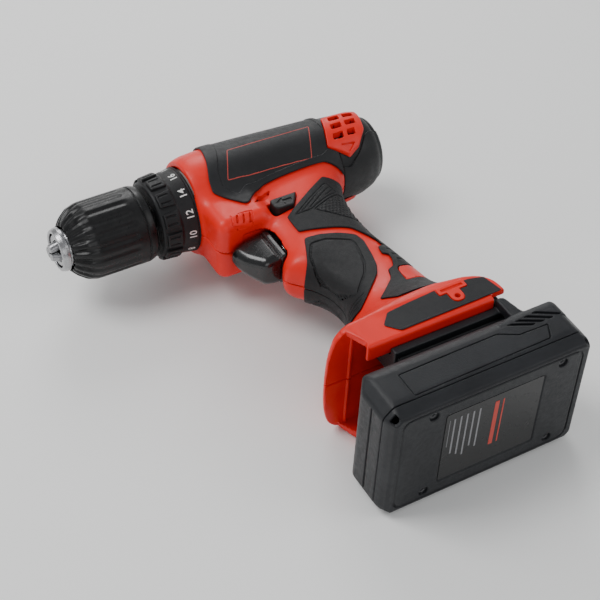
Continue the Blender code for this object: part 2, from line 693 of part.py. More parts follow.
def make_pack():
    low = pack_body("pack_lower_shell", PACK_FRONT, PACK_REAR, PACK_HALF, BASE, PACK_SEAM - GAP, 6)
    low = place(low, "pack")
    low_inside = pack_body("lower_inside", PACK_FRONT + WALL, PACK_REAR - WALL, PACK_HALF - WALL,
                           BASE + WALL, PACK_SEAM + 5, 5)
    boolean(low, low_inside)
    chamfer_pack(low)

    body = pack_body("upper_body", PACK_FRONT, PACK_REAR, PACK_HALF, PACK_SEAM, PACK_TOP, 6)
    rail = [
        box("groove_neck", (-4, 60), (PACK_TOP - 1, -169.5), (-26, 26)),
        box("latch_house", (58, 78), (PACK_TOP - 1, -169.5), (-20, 20)),
        box("plate", (-6.5, 60), (-170, FOOT_RIM - GAP), (-30, 30)),
        box("lip_neck", (-6, 60), (FOOT_RIM - 2, LIP_TOP + 2), (-LIP_HALF + 0.4, LIP_HALF - 0.4)),
        box("t_head", (-6, 60), (LIP_TOP + GAP, -152.6), (-29.4, 29.4)),
        box("wedge_left", (54.4, 61), (-178, -163.6), (28, 34)),
        box("wedge_right", (54.4, 61), (-178, -163.6), (-34, -28)),
    ]
    upper = joined("pack_upper_shell", body, rail, "pack")
    inside = pack_body("upper_inside", PACK_FRONT + WALL, PACK_REAR - WALL, PACK_HALF - WALL,
                       PACK_SEAM - 5, PACK_TOP - WALL, 5)
    for cutter in (inside, box("rail_channel", (-10, 34), (-163.0, -150), (-12.5, 12.5)),
                   box("contact_slot_1", (33, 52), (-158, -150), (4.2, 7.6)),
                   box("contact_slot_2", (33, 52), (-158, -150), (-7.6, -4.2)),
                   box("rail_hollow", (0, 58), (PACK_TOP - 10, -165.6), (-22, 22)),
                   box("latch_pocket", (70, 90), (-188, -168), (-16.4, 16.4)),):
        boolean(upper, cutter)

    for number in range(CELLS):
        x = FIRST_CELL_X + CELL_PITCH * number
        rod(f"cell_{number + 1}", (x, CELL_Y, -CELL_HALF), (x, CELL_Y, CELL_HALF), CELL_R, "cell", sides=20)
    box("pack_circuit_board", (2, 56), (-183.6, -182.2), (-20, 20), "board")
    make_latch()
    cut_pack_screw_holes(low)


def chamfer_pack(shell):
    """Bevel the long lower edges of the pack's sides."""
    for sign in (1, -1):
        outline = [(BASE - 5, sign * (PACK_HALF - 4.2)), (-202.5, sign * PACK_HALF), (-202.5, sign * 50),
                   (BASE - 5, sign * 50)]
        if sign < 0:
            outline.reverse()
        cutter = prism(f"{shell.name}_edge_{'left' if sign > 0 else 'right'}",
                       [(z, y) for y, z in outline], -60, 110)
        lay = Matrix(((0, 0, 1, 0), (0, 1, 0, 0), (1, 0, 0, 0), (0, 0, 0, 1)))
        cutter.data.transform(lay)
        cutter.data.flip_normals()
        boolean(shell, cutter)


def make_latch():
    """The sprung release button in the pack's rear end."""
    button = box("latch_button", (70.4, PACK_REAR - 0.2), (-184.5, -170.4), (-16, 16), bevel=1.2)
    button = frozen(button, "black")
    button.name = "latch_button"
    set_origin(button, (76, -177, 0))


def cut_pack_screw_holes(shell):
    for number, (x, z) in enumerate(PACK_SCREWS, 1):
        boolean(shell, rod(f"pack_recess_{number}", (x, BASE - 5, z), (x, BASE + 1.6, z), 2.6, sides=12))
        boolean(shell, rod(f"pack_hole_{number}", (x, BASE, z), (x, BASE + 4, z), 1.4, sides=8))


def main():
    bpy.context.view_layer.update()
    make_housing()
    make_housing_screws()
    make_side_panels()
    make_rear_cap()
    make_vent_shields()
    make_grip_pads()
    make_foot_panels()
    make_chuck()
    make_clutch()
    make_gearbox()
    make_motor()
    make_trigger()
    make_electrics()
    make_pack()


main()
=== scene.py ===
"""The looks of the cordless drill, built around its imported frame.

Shapes are written as distance functions in the drill's own frame, in millimetres (the spindle axis
is X, the chuck points along -X, +Y is the top and +Z the left side), and meshed on a fine grid.
"""

import json
import math
from functools import partial, reduce

import bmesh
import bpy
import numpy as np
from mathutils import Matrix, Vector


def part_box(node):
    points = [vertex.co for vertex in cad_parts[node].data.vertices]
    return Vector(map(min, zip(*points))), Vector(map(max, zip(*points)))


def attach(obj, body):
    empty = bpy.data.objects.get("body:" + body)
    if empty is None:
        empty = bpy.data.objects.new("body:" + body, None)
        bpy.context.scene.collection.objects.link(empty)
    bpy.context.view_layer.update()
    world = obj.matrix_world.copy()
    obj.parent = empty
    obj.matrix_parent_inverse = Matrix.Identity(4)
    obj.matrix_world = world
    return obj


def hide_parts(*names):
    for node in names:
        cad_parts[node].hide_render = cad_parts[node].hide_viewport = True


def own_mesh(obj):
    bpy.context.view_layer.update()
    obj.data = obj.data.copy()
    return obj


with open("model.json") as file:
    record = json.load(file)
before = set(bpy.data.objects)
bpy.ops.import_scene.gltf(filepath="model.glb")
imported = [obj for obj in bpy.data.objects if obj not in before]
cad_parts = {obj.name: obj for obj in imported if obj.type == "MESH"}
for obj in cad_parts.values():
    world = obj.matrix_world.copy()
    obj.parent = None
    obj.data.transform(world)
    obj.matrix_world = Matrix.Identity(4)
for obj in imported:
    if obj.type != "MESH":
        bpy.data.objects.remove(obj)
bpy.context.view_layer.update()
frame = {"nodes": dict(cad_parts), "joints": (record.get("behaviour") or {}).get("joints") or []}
NODES = frame["nodes"]
JOINTS = {joint["name"]: joint for joint in frame["joints"]}
ORIGIN = np.array(JOINTS["chuck_spin"]["pos_m"]) * 1000      # the spindle axis, in the row's frame
COARSE = 1.0                          # a coarser grid while trying things


def cad(node):
    """The corners of a CAD node, in the drill's own frame, in millimetres."""
    low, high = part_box(node)
    return np.array(low) * 1000 - ORIGIN, np.array(high) * 1000 - ORIGIN


# ---------------------------------------------------------------- distance functions

def smooth_min(a, b, k):
    h = np.clip(0.5 + 0.5 * (b - a) / k, 0, 1)
    return b + (a - b) * h - k * h * (1 - h)


def both(radius, *distances):
    """Where all the shapes are, with the edges between them rounded."""
    moved = [d + radius for d in distances]
    inner = np.minimum(reduce(np.maximum, moved), 0)
    return inner + np.sqrt(sum(np.maximum(d, 0) ** 2 for d in moved)) - radius


def cut(radius, shape, *tools):
    """A shape less the tools, with the new edges rounded."""
    for tool in tools:
        shape = both(radius, shape, -tool)
    return shape


def any_of(*distances):
    return reduce(np.minimum, distances)


def block(p, x, y, z, radius=0.5):
    q = []
    for value, (low, high) in zip(p, (x, y, z)):
        q.append(np.abs(value - (low + high) / 2) - (high - low) / 2 + radius)
    outside = np.sqrt(sum(np.maximum(d, 0) ** 2 for d in q))
    return outside + np.minimum(reduce(np.maximum, q), 0) - radius


def rod(p, start, end, radius, edge=0.3):
    """A cylinder between two points, with rounded rims."""
    start, end = np.array(start, float), np.array(end, float)
    axis = (end - start) / np.linalg.norm(end - start)
    along = sum((v - s) * a for v, s, a in zip(p, start, axis))
    square = sum((v - s) ** 2 for v, s in zip(p, start))
    across = np.sqrt(np.maximum(square - along ** 2, 0))
    return both(edge, across - radius, -along, along - np.linalg.norm(end - start))


def outline(points, u, v):
    """Distance to a closed outline, negative inside."""
    shape = np.broadcast_shapes(np.shape(u), np.shape(v))
    nearest = np.full(shape, 1e9)
    inside = np.zeros(shape, bool)
    for (ax, ay), (bx, by) in zip(points, points[1:] + points[:1]):
        ex, ey = bx - ax, by - ay
        wx, wy = u - ax, v - ay
        t = np.clip((wx * ex + wy * ey) / (ex * ex + ey * ey + 1e-12), 0, 1)
        nearest = np.minimum(nearest, (wx - ex * t) ** 2 + (wy - ey * t) ** 2)
        if ay != by:
            inside ^= ((ay > v) != (by > v)) & (u < ex * wy / ey + ax)
    return np.where(inside, -1, 1) * np.sqrt(nearest)


def soft(points, radius, steps=3):
    """An outline with its corners rounded."""
    made = []
    for i, corner in enumerate(points):
        corner = Vector(corner)
        before, after = Vector(points[i - 1]), Vector(points[(i + 1) % len(points)])
        a = corner + (before - corner) * min(0.45, radius / (before - corner).length)
        b = corner + (after - corner) * min(0.45, radius / (after - corner).length)
        for s in range(steps + 1):
            t = s / steps
            made.append(tuple(a * (1 - t) ** 2 + corner * 2 * t * (1 - t) + b * t * t))
    return made


def curve(stations, column=1, count=240):
    """A smooth table through stations, for np.interp."""
    xs = np.array([s[0] for s in stations], float)
    ys = np.array([s[column] for s in stations], float)
    if xs[0] > xs[-1]:
        xs, ys = xs[::-1], ys[::-1]
    slopes = np.gradient(ys, xs)
    t = np.linspace(xs[0], xs[-1], count)
    i = np.clip(np.searchsorted(xs, t, side="right") - 1, 0, len(xs) - 2)
    h = xs[i + 1] - xs[i]
    s = (t - xs[i]) / h
    value = ((2 * s ** 3 - 3 * s ** 2 + 1) * ys[i] + (s ** 3 - 2 * s ** 2 + s) * h * slopes[i]
             + (3 * s ** 2 - 2 * s ** 3) * ys[i + 1] + (s ** 3 - s ** 2) * h * slopes[i + 1])
    return t, value


# ---------------------------------------------------------------- meshes

BLOCK = 8                    # cells of the fine grid along one cell of the coarse grid
CHUNK = 1500                 # coarse cells worked out together
CORNERS = [(i, j, k) for i in (0, 1) for j in (0, 1) for k in (0, 1)]
EDGES = [(a, b) for a in range(8) for b in range(a + 1, 8)
         if sum(abs(CORNERS[a][i] - CORNERS[b][i]) for i in range(3)) == 1]


def sample(f, low, cells, step):
    """f at the grid's nodes. Coarse cells that are far from the surface only get its sign."""
    coarse = [low[a] + step * BLOCK * np.arange(cells[a] // BLOCK + 1) for a in range(3)]
    rough = f(np.meshgrid(*coarse, indexing="ij", sparse=True))
    near = np.full(tuple(c // BLOCK for c in cells), np.inf)
    size = near.shape
    for i, j, k in CORNERS:
        near = np.minimum(near, np.abs(rough[i:i + size[0], j:j + size[1], k:k + size[2]]))
    signs = np.where(rough[:-1, :-1, :-1] < 0, -9.0, 9.0).astype(np.float32)
    for axis in range(3):
        signs = np.repeat(signs, BLOCK, axis)
    values = np.pad(signs, [(0, 1)] * 3, mode="edge")
    active = np.argwhere(near < 2.2 * step * BLOCK)
    local = np.arange(BLOCK + 1) * step
    for first in range(0, len(active), CHUNK):
        part = active[first:first + CHUNK]
        starts = [low[a] + part[:, a] * BLOCK * step for a in range(3)]
        shape = (len(part),) + (BLOCK + 1,) * 3
        points = [starts[a][:, None, None, None] + local.reshape([-1 if b == a else 1 for b in range(3)])
                  for a in range(3)]
        result = np.broadcast_to(f(points), shape).astype(np.float32)
        for (i, j, k), found in zip(part * BLOCK, result):
            values[i:i + BLOCK + 1, j:j + BLOCK + 1, k:k + BLOCK + 1] = found
    return values


def surface(f, low, high, step):
    """Vertices and quads of the surface f = 0, by surface nets, then moved onto it."""
    low = np.array(low, float) - 2 * step
    high = np.array(high, float) + 2 * step
    cells = (np.ceil((high - low) / step / BLOCK).astype(int)) * BLOCK
    values = sample(f, low, cells, step)
    inside = values < 0
    count = np.zeros(tuple(cells), np.uint8)
    for i, j, k in CORNERS:
        count += inside[i:i + cells[0], j:j + cells[1], k:k + cells[2]]
    mixed = np.argwhere((count > 0) & (count < 8))
    corner = np.stack([values[mixed[:, 0] + i, mixed[:, 1] + j, mixed[:, 2] + k] for i, j, k in CORNERS], 1)
    total, hits = np.zeros((len(mixed), 3)), np.zeros(len(mixed))
    for a, b in EDGES:
        va, vb = corner[:, a], corner[:, b]
        crossed = (va < 0) != (vb < 0)
        t = np.where(crossed, va / np.where(crossed, va - vb, 1), 0)
        at = np.array(CORNERS[a]) + t[:, None] * (np.array(CORNERS[b]) - np.array(CORNERS[a]))
        total += at * crossed[:, None]
        hits += crossed
    points = low + (mixed + total / hits[:, None]) * step
    number = np.full(tuple(cells), -1, np.int32)
    number[tuple(mixed.T)] = np.arange(len(mixed))
    quads = []
    for axis in range(3):
        u, v = (axis + 1) % 3, (axis + 2) % 3
        here = inside.take(range(0, cells[axis]), axis)
        there = inside.take(range(1, cells[axis] + 1), axis)
        edge = np.argwhere(here != there)
        edge = edge[(edge[:, u] > 0) & (edge[:, v] > 0) & (edge[:, u] < cells[u]) & (edge[:, v] < cells[v])]
        ring = []
        for du, dv in ((-1, -1), (0, -1), (0, 0), (-1, 0)):
            cell = edge.copy()
            cell[:, u] += du
            cell[:, v] += dv
            ring.append(number[tuple(cell.T)])
        quad = np.stack(ring, 1)
        flip = ~here[tuple(edge.T)]
        quad[flip] = quad[flip][:, ::-1]
        quads.append(quad)
    return settle(f, points, step) + (np.concatenate(quads),)


def gradient(f, p, value, delta=0.02):
    made = []
    for axis in range(3):
        moved = [p[:, a] + (delta if a == axis else 0) for a in range(3)]
        made.append((f(moved) - value) / delta)
    return np.stack(made, 1)


def settle(f, points, step):
    """Move points onto the surface, and give the surface's directions there."""
    for _ in range(3):
        value = f([points[:, a] for a in range(3)])
        slope = gradient(f, points, value)
        square = np.maximum((slope ** 2).sum(1), 0.05)
        move = np.clip(value / square, -0.6 * step, 0.6 * step)
        points = points - slope * move[:, None]
    value = f([points[:, a] for a in range(3)])
    slope = gradient(f, points, value, 0.05)
    return points, slope / np.maximum(np.linalg.norm(slope, axis=1), 1e-6)[:, None]


def mesh_from(name, points, faces, normals=None):
    """A mesh from points in the drill's frame; faces all have the same number of corners."""
    mesh = bpy.data.meshes.new(name)
    sides = faces.shape[1]
    mesh.vertices.add(len(points))
    mesh.vertices.foreach_set("co", ((points + ORIGIN) / 1000).astype(np.float32).ravel())
    mesh.loops.add(faces.size)
    mesh.loops.foreach_set("vertex_index", faces.astype(np.int32).ravel())
    mesh.polygons.add(len(faces))
    mesh.polygons.foreach_set("loop_start", np.arange(0, faces.size, sides, dtype=np.int32))
    mesh.update(calc_edges=True)
    mesh.validate()
    mesh.shade_smooth()
    if normals is not None:
        mesh.normals_split_custom_set_from_vertices(normals.astype(np.float32).tolist())
    return mesh


def add_piece(name, mesh, look, body):
    """A visible piece. It takes the place of the CAD node of its own name, where there is one."""
    is_node = name in NODES
    thing = bpy.data.objects.new(f"{name}_look" if is_node else name, mesh)
    bpy.context.scene.collection.objects.link(thing)
    mesh.materials.append(look)
    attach(thing, body)
    if is_node:
        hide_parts(name)
    return thing


SUNK = 0.07                  # how far the coarse surface is sunk where a fine one lies over it


def patched(f, low, high, step, fine):
    """A surface with small boxes of it on a finer grid; fine is a list of (low, high, step)."""
    points, normals, quads = surface(f, low, high, step)
    for start, end, small in fine:
        start, end = np.array(start, float), np.array(end, float)
        inner = ((points > start + step) & (points < end - step)).all(1)
        quads = quads[~inner[quads].all(1)]
        # what is left of the coarse surface under the fine one is sunk a little, out of its way
        under = ((points > start) & (points < end)).all(1)
        points = points - normals * (under * SUNK)[:, None]
        more, slopes, faces = surface(f, start, end, small)
        keep = ((more > start) & (more < end)).all(1)
        faces = faces[keep[faces].all(1)]
        quads = np.concatenate([quads, faces + len(points)])
        points, normals = np.concatenate([points, more]), np.concatenate([normals, slopes])
    used = np.unique(quads)
    number = np.zeros(len(points), np.int64)
    number[used] = np.arange(len(used))
    return points[used], normals[used], number[quads]


def solid(name, f, low, high, step, look, body, fine=()):
    """A piece of the drill from its distance function."""
    fine = [(start, end, small * COARSE) for start, end, small in fine]
    points, normals, quads = patched(f, low, high, step * COARSE, fine)
    add_piece(name, mesh_from(name, points, quads, normals), look, body)


def pair(name, f, low, high, step, look, body):
    """A left piece, and its mirror image on the right."""
    points, normals, quads = surface(f, low, high, step * COARSE)
    for side, flip, order in (("left", 1, 1), ("right", np.array([1, 1, -1]), -1)):
        mesh = mesh_from(f"{name}_{side}", points * flip, quads[:, ::order], normals * flip)
        add_piece(f"{name}_{side}", mesh, look, body)


# ---------------------------------------------------------------- finishes

def node_tree(name):
    made = bpy.data.materials.new(name)
    made.use_nodes = True
    return made, made.node_tree.nodes, made.node_tree.links


def noise(nodes, links, where, scale, detail=3.0, rough=0.55):
    texture = nodes.new("ShaderNodeTexNoise")
    texture.inputs["Scale"].default_value = scale
    texture.inputs["Detail"].default_value = detail
    texture.inputs["Roughness"].default_value = rough
    links.new(where, texture.inputs["Vector"])
    return texture.outputs["Fac"]


def spread(nodes, links, value, low, high, start=0.3, end=0.7):
    """Map a texture's value to a range."""
    ramp = nodes.new("ShaderNodeMapRange")
    ramp.inputs["From Min"].default_value = start
    ramp.inputs["From Max"].default_value = end
    ramp.inputs["To Min"].default_value = low
    ramp.inputs["To Max"].default_value = high
    links.new(value, ramp.inputs["Value"])
    return ramp.outputs["Result"]


def blend_colours(nodes, links, share, one, other):
    mix = nodes.new("ShaderNodeMix")
    mix.data_type = "RGBA"
    links.new(share, mix.inputs["Factor"])
    mix.inputs["A"].default_value = (*one, 1)
    mix.inputs["B"].default_value = (*other, 1)
    return mix.outputs["Result"]


def finish(name, colour, roughness, metal=0.0, grain=2600.0, depth=0.05, mottle=0.12, ior=1.5,
           coat=0.0, spread_rough=0.08, wave=None):
    """A moulded or turned surface: fine grain, slow mottling of colour and uneven polish.

    The wave is (axis, lines per metre, depth) for the tool marks of a turned or brushed piece.
    """
    made, nodes, links = node_tree(name)
    shader = nodes["Principled BSDF"]
    place = nodes.new("ShaderNodeTexCoord").outputs["Object"]
    slow = noise(nodes, links, place, 45.0, 4.0)
    middle = noise(nodes, links, place, 420.0, 3.0)
    fine = noise(nodes, links, place, grain, 2.0)
    darker = tuple(c * (1 - mottle) for c in colour)
    lighter = tuple(min(1, c * (1 + mottle) + 0.003) for c in colour)
    links.new(blend_colours(nodes, links, spread(nodes, links, slow, 0, 1), darker, lighter),
              shader.inputs["Base Color"])
    links.new(spread(nodes, links, middle, roughness - spread_rough, roughness + spread_rough),
              shader.inputs["Roughness"])
    shader.inputs["Metallic"].default_value = metal
    shader.inputs["IOR"].default_value = ior
    shader.inputs["Coat Weight"].default_value = coat
    shader.inputs["Coat Roughness"].default_value = 0.12
    bump = nodes.new("ShaderNodeBump")
    bump.inputs["Distance"].default_value = 0.0004
    bump.inputs["Strength"].default_value = depth
    links.new(fine, bump.inputs["Height"])
    last = bump
    if wave:
        axis, scale, strength = wave
        lines = nodes.new("ShaderNodeTexWave")
        lines.bands_direction = axis
        lines.inputs["Scale"].default_value = scale
        lines.inputs["Distortion"].default_value = 1.5
        lines.inputs["Detail"].default_value = 2.0
        links.new(place, lines.inputs["Vector"])
        marks = nodes.new("ShaderNodeBump")
        marks.inputs["Distance"].default_value = 0.0003
        marks.inputs["Strength"].default_value = strength
        links.new(lines.outputs["Fac"], marks.inputs["Height"])
        links.new(bump.outputs["Normal"], marks.inputs["Normal"])
        last = marks
    links.new(last.outputs["Normal"], shader.inputs["Normal"])
    return made


plastic = partial(finish, ior=1.38)
metal_part = partial(finish, metal=1)

RED = finish("red_shell", (0.78, 0.013, 0.005), 0.4, grain=3200, depth=0.12, mottle=0.06, ior=1.4,
             coat=0.05)
DARK = plastic("side_panel", (0.011, 0.0115, 0.013), 0.5, depth=0.28, mottle=0.15)
CAP = plastic("rear_cap", (0.009, 0.0095, 0.0105), 0.44, depth=0.22, mottle=0.15)
RUBBER = plastic("grip_rubber", (0.008, 0.0085, 0.0095), 0.55, grain=1900, depth=0.5, mottle=0.2)
SLEEVE = plastic("chuck_sleeve", (0.006, 0.006, 0.0065), 0.33, grain=3000, depth=0.10)
COLLAR = plastic("clutch_ring", (0.008, 0.008, 0.009), 0.46, grain=2800, depth=0.25, mottle=0.15)
GLOSS = finish("trigger_gloss", (0.004, 0.004, 0.0045), 0.24, grain=900, mottle=0.1, coat=0.3,
               spread_rough=0.05)
BLACK = plastic("black_plastic", (0.007, 0.007, 0.0075), 0.42, depth=0.2, mottle=0.15)
PACK = plastic("pack_grey", (0.011, 0.012, 0.0145), 0.42, grain=2300, depth=0.34, mottle=0.14)
LABEL = finish("label_film", (0.004, 0.004, 0.0045), 0.22, grain=700, depth=0.03, mottle=0.1)
WHITE = finish("printed_white", (0.78, 0.78, 0.76), 0.5, grain=3000, depth=0.08, mottle=0.04)
PRINT_RED = finish("printed_red", (0.50, 0.045, 0.03), 0.5, grain=3000, depth=0.08, mottle=0.05)
GREY_INK = finish("printed_grey", (0.22, 0.22, 0.23), 0.5, grain=3000, depth=0.08, mottle=0.05)
STEEL = metal_part("turned_steel", (0.40, 0.40, 0.41), 0.26, grain=1500, depth=0.06, mottle=0.06,
                   wave=("X", 1500, 0.12))
JAW = metal_part("ground_steel", (0.34, 0.34, 0.35), 0.28, grain=1800, depth=0.1, mottle=0.08,
                 wave=("X", 900, 0.1))
DARK_STEEL = metal_part("phosphated_steel", (0.19, 0.19, 0.2), 0.42, grain=1600, depth=0.2)
SCREW = metal_part("blackened_screw", (0.12, 0.12, 0.125), 0.38, grain=1800, depth=0.15)
GEAR = metal_part("sintered_steel", (0.42, 0.42, 0.43), 0.38, grain=1400, depth=0.3, mottle=0.1)
SPRING = metal_part("spring_wire", (0.5, 0.5, 0.5), 0.26, grain=1400, depth=0.08, mottle=0.08)
CAN = metal_part("zinc_plated_steel", (0.5, 0.5, 0.52), 0.34, grain=600, depth=0.1, mottle=0.1)
COPPER = metal_part("enamelled_copper", (0.72, 0.33, 0.16), 0.34, grain=900, depth=0.2, mottle=0.15,
                    wave=("X", 420, 0.5))
NYLON = finish("glass_filled_nylon", (0.46, 0.46, 0.43), 0.55, grain=1500, depth=0.3, mottle=0.08)
WIRE_RED = finish("red_sleeve", (0.5, 0.02, 0.02), 0.42, grain=1200, depth=0.1, mottle=0.08)
WIRE_BLACK = finish("black_sleeve", (0.02, 0.02, 0.02), 0.42, grain=1200, depth=0.1, mottle=0.1)
BOARD = finish("solder_resist", (0.02, 0.16, 0.07), 0.35, grain=500, depth=0.1, coat=0.2)
WRAP = finish("cell_wrap", (0.05, 0.2, 0.42), 0.3, grain=350, depth=0.12, mottle=0.06, coat=0.1)

CARRIED = {                  # CAD nodes that keep their own shape, and the finish each one gets
    "chuck_nut": DARK_STEEL, "chuck_screw": DARK_STEEL, "clutch_spring": SPRING, "gear_case": NYLON,
    "ring_gear": DARK_STEEL, "output_carrier": DARK_STEEL, "first_carrier": DARK_STEEL,
    "motor_pinion": GEAR, "spindle": DARK_STEEL, "spindle_bearing": GEAR, "motor_can": CAN,
    "motor_end_bell": BLACK, "rotor": COPPER, "cooling_fan": BLACK, "switch_module": BLACK,
    "terminal_block": BLACK, "battery_lead_red": WIRE_RED,
    "battery_lead_black": WIRE_BLACK, "motor_lead_red": WIRE_RED, "motor_lead_black": WIRE_BLACK,
    "pack_circuit_board": BOARD,
}
CARRIED.update({f"{stage}_planet_{i}": GEAR for stage in ("first", "second") for i in (1, 2, 3)})
CARRIED.update({f"cell_{i}": WRAP for i in range(1, 6)})


# ---------------------------------------------------------------- the drill's skin

WALL = 2.6                   # the thickness of the moulded shells
GAP = 0.3                    # the joint between two neighbouring pieces
BARREL_WIDTH = 1.09          # the barrel is this much wider than it is tall
BARREL = [(-33, 24.8), (-30, 25.7), (-19, 26.7), (0, 26.2), (27, 24.9), (55, 23.4), (66, 22.6),
          (75, 21.2), (82, 18.2), (86.4, 13.6), (88, 8)]
GRIP = [                     # y, front x, back x, half width
    (-12, -8, 56, 19.5), (-26, -8, 52, 19), (-34, -8, 47, 18.6), (-44, -8, 43.6, 18),
    (-58, -8, 41.6, 17.2), (-68, -9.5, 42, 17), (-77, -12, 43, 17), (-83, -7, 44, 17),
    (-90, -1, 45, 17.2), (-103, 4.2, 46.8, 17.8), (-114, 3.6, 48, 19), (-125, -3, 49.5, 22),
    (-135, -12, 53.5, 27.5), (-142, -20, 58.5, 32), (-146.5, -25, 61.5, 34),
]
RADIUS = curve(BARREL)
FRONT, BACK, HALF = curve(GRIP, 1), curve(GRIP, 2), curve(GRIP, 3)
SQUARENESS = 2.7
FOOT_SIDE = soft([(-32, -150.3), (-31, -146.6), (-9, -144.6), (14, -142), (32, -141), (50, -143.4),
                  (58.5, -147.4), (62.6, -154), (63, -165), (-32, -165)], 4)
FOOT_BOW = -32.6             # the foremost line of the foot, which bows forward
REAR_EDGE = 55.0             # where the housing ends and the rear cap starts
HALF_WIDTH = 36.0            # of the pack and of the badge on the foot
BAY_HALF, LIP_HALF = 31.0, 25.5
SCREWS = [(-27, -37.5, 19.0), (37.5, -99, 16.5), (44, -139.5, 24.0)]


def barrel_side(p):
    """Distance from the barrel's turned surface, taken on past both of its ends."""
    return np.hypot(p[1], p[2] / BARREL_WIDTH) - np.interp(p[0], *RADIUS)


def grip_side(p):
    x, y, z = p
    front, back, half = (np.interp(y, *table) for table in (FRONT, BACK, HALF))
    a = (back - front) / 2
    u = np.abs(x - (front + back) / 2) / a
    w = np.abs(z) / half
    v = np.maximum((u ** SQUARENESS + w ** SQUARENESS) ** (1 / SQUARENESS), 1e-3)
    k = SQUARENESS - 1
    slope = np.sqrt(((u / v) ** k / a) ** 2 + ((w / v) ** k / half) ** 2)
    return (v - 1) / np.maximum(slope, 1e-3)


def skin(p):
    """The outside of the housing before anything is cut, with the parts blended together."""
    x, y, z = p
    barrel = both(1.0, barrel_side(p), -33 - x, x - REAR_EDGE)
    chin = block(p, (-33, -2), (-44, -8), (-20, 20), 6)
    grip = both(2, grip_side(p), y + 12, -147 - y)
    plan = both(8, np.abs(z) - 35, (FOOT_BOW - x + z ** 2 / 165) * 0.96)
    foot = both(2.2, outline(FOOT_SIDE, x, y), plan)
    body = smooth_min(smooth_min(barrel, chin, 5), grip, 7)
    return smooth_min(body, foot, 5)


def hollow(p):
    x, y, z = p
    barrel = both(1.0, barrel_side(p) + WALL, -60 - x, x - 70)
    chin = block(p, (-33 + WALL, -2), (-44 + WALL, -8), (-20 + WALL, 20 - WALL), 4)
    grip = both(1, grip_side(p) + WALL, y + 12, -146.2 - y)
    return any_of(barrel, chin, grip)


SIDE_PAD = soft([(-30, -86), (-6.5, -86), (-3, -82), (3.6, -67.2), (12.5, -69), (21.4, -72.4), (29.4, -76.9),
                 (30.6, -82.8), (27.6, -97), (25.8, -103.2), (22.3, -109.4), (8.1, -121.8), (0.5, -128),
                 (-30, -128)], 1.6)
BACK_PAD = soft([(3.6, -49.1), (36.4, -29.6), (44, -31.8), (64, -32), (64, -137), (16, -137), (10, -130.5),
                 (24.9, -117.3), (26.7, -114.7), (28.5, -109.6), (32.9, -107.6), (35.6, -102.3),
                 (36.6, -97.8),
                 (33.3, -96.3), (34.7, -90.2), (39.3, -88.2), (39.1, -82.6), (36.4, -78.3), (30, -71),
                 (21.4, -67.5), (12.5, -64.5), (3.6, -61.4)], 0.9)
BACK_WINDOW = soft([(33.4, -111.8), (35.2, -109.6), (41.5, -108.8), (47, -108.8), (47, -121), (40, -121.6),
                    (31.6, -122.4)], 0.9)
SIDE_PANEL = soft([(-15.8, 23), (-17, 12), (-20.4, -2.4), (-24.2, -13), (-25, -19), (-12.6, -32.4),
                   (-10, -32.4),
                   (-2, -25), (3.6, -22.7), (43.6, -20), (48, -21.6), (56, -25), (56, 23)], 1.0)
PANEL_INSET = soft([(-8, 30), (-9.4, 12), (-12, 1), (-17.6, -11), (-18.6, -18), (-12.4, -24.6), (-6, -20.4),
                    (44, -16.6), (52, -13), (52, 30)], 1.4)
LABEL_FRAME = soft([(-14.2, -15.9), (37.0, -17.2), (45.8, 2.4), (-5.8, 1.2)], 0.8)
VENT_SHIELD = soft([(56, 6.4), (79.4, 8.3), (78.6, 3), (75.7, -8.6), (68.3, -16.2), (61, -19.2),
                    (49.2, -13.8)], 0.9)
FOOT_PANEL = soft([(-4.6, -155.7), (1.5, -149), (12.7, -147.9), (31.5, -146.6), (50, -147.4), (57.6, -149.6),
                   (60.4, -161.6), (1.5, -162.4)], 1.1)
FOOT_BAR = soft([(30.6, -146.4), (46.8, -146.4), (46.8, -151.2), (30.6, -151.2)], 0.6)
FOOT_STEM = soft([(34.8, -150), (41.9, -150), (41.9, -156), (40.4, -158.4), (36.3, -158.4),
                  (34.8, -156)], 1.2)
BAR_SLOT = soft([(32.4, -148.2), (45.2, -148.2), (45.2, -150), (32.4, -150)], 0.5)
SCREW_BOSS = (38.4, -155.2)
DARK_NOTCH = soft([(-7.4, -33.6), (-1.6, -27.0), (6.2, -26.0), (2.4, -30.4)], 0.5)
SWITCH_HOLE = soft([(-1.6, -37), (-0.6, -35.1), (17.3, -35.1), (10.4, -44.3), (0.4, -44.3), (-1.6, -42)], 1.6)
HOOD_CUT = [(-60, -150), (-21.8, -150), (-17.2, -161), (-18.9, -164), (-15.8, -167), (-15.8, -190),
            (-60, -190)]


def vent_rows(p, grow=0.0):
    """The six air slots, as one distance in X and Y."""
    x, y = p[0], p[1]
    found = []
    for row in range(3):
        for column in range(2):
            left = 58.6 + 9.5 * column - 2.0 * row
            top = 4.6 - 6.3 * row + 0.6 * column
            wide = 7.6 if row < 2 or column == 0 else 6.0
            slot = [(left + 0.8, top), (left + wide, top + 0.4),
                    (left + wide - 0.9, top - 3.4), (left - 0.2, top - 3.4)]
            found.append(outline(soft(slot, 0.7), x, y) - grow)
    return any_of(*found)


MARK_FRAME = soft([(-23.8, -36.2), (-25.2, -43), (-14.4, -44.8), (-11.6, -38.4)], 0.8)


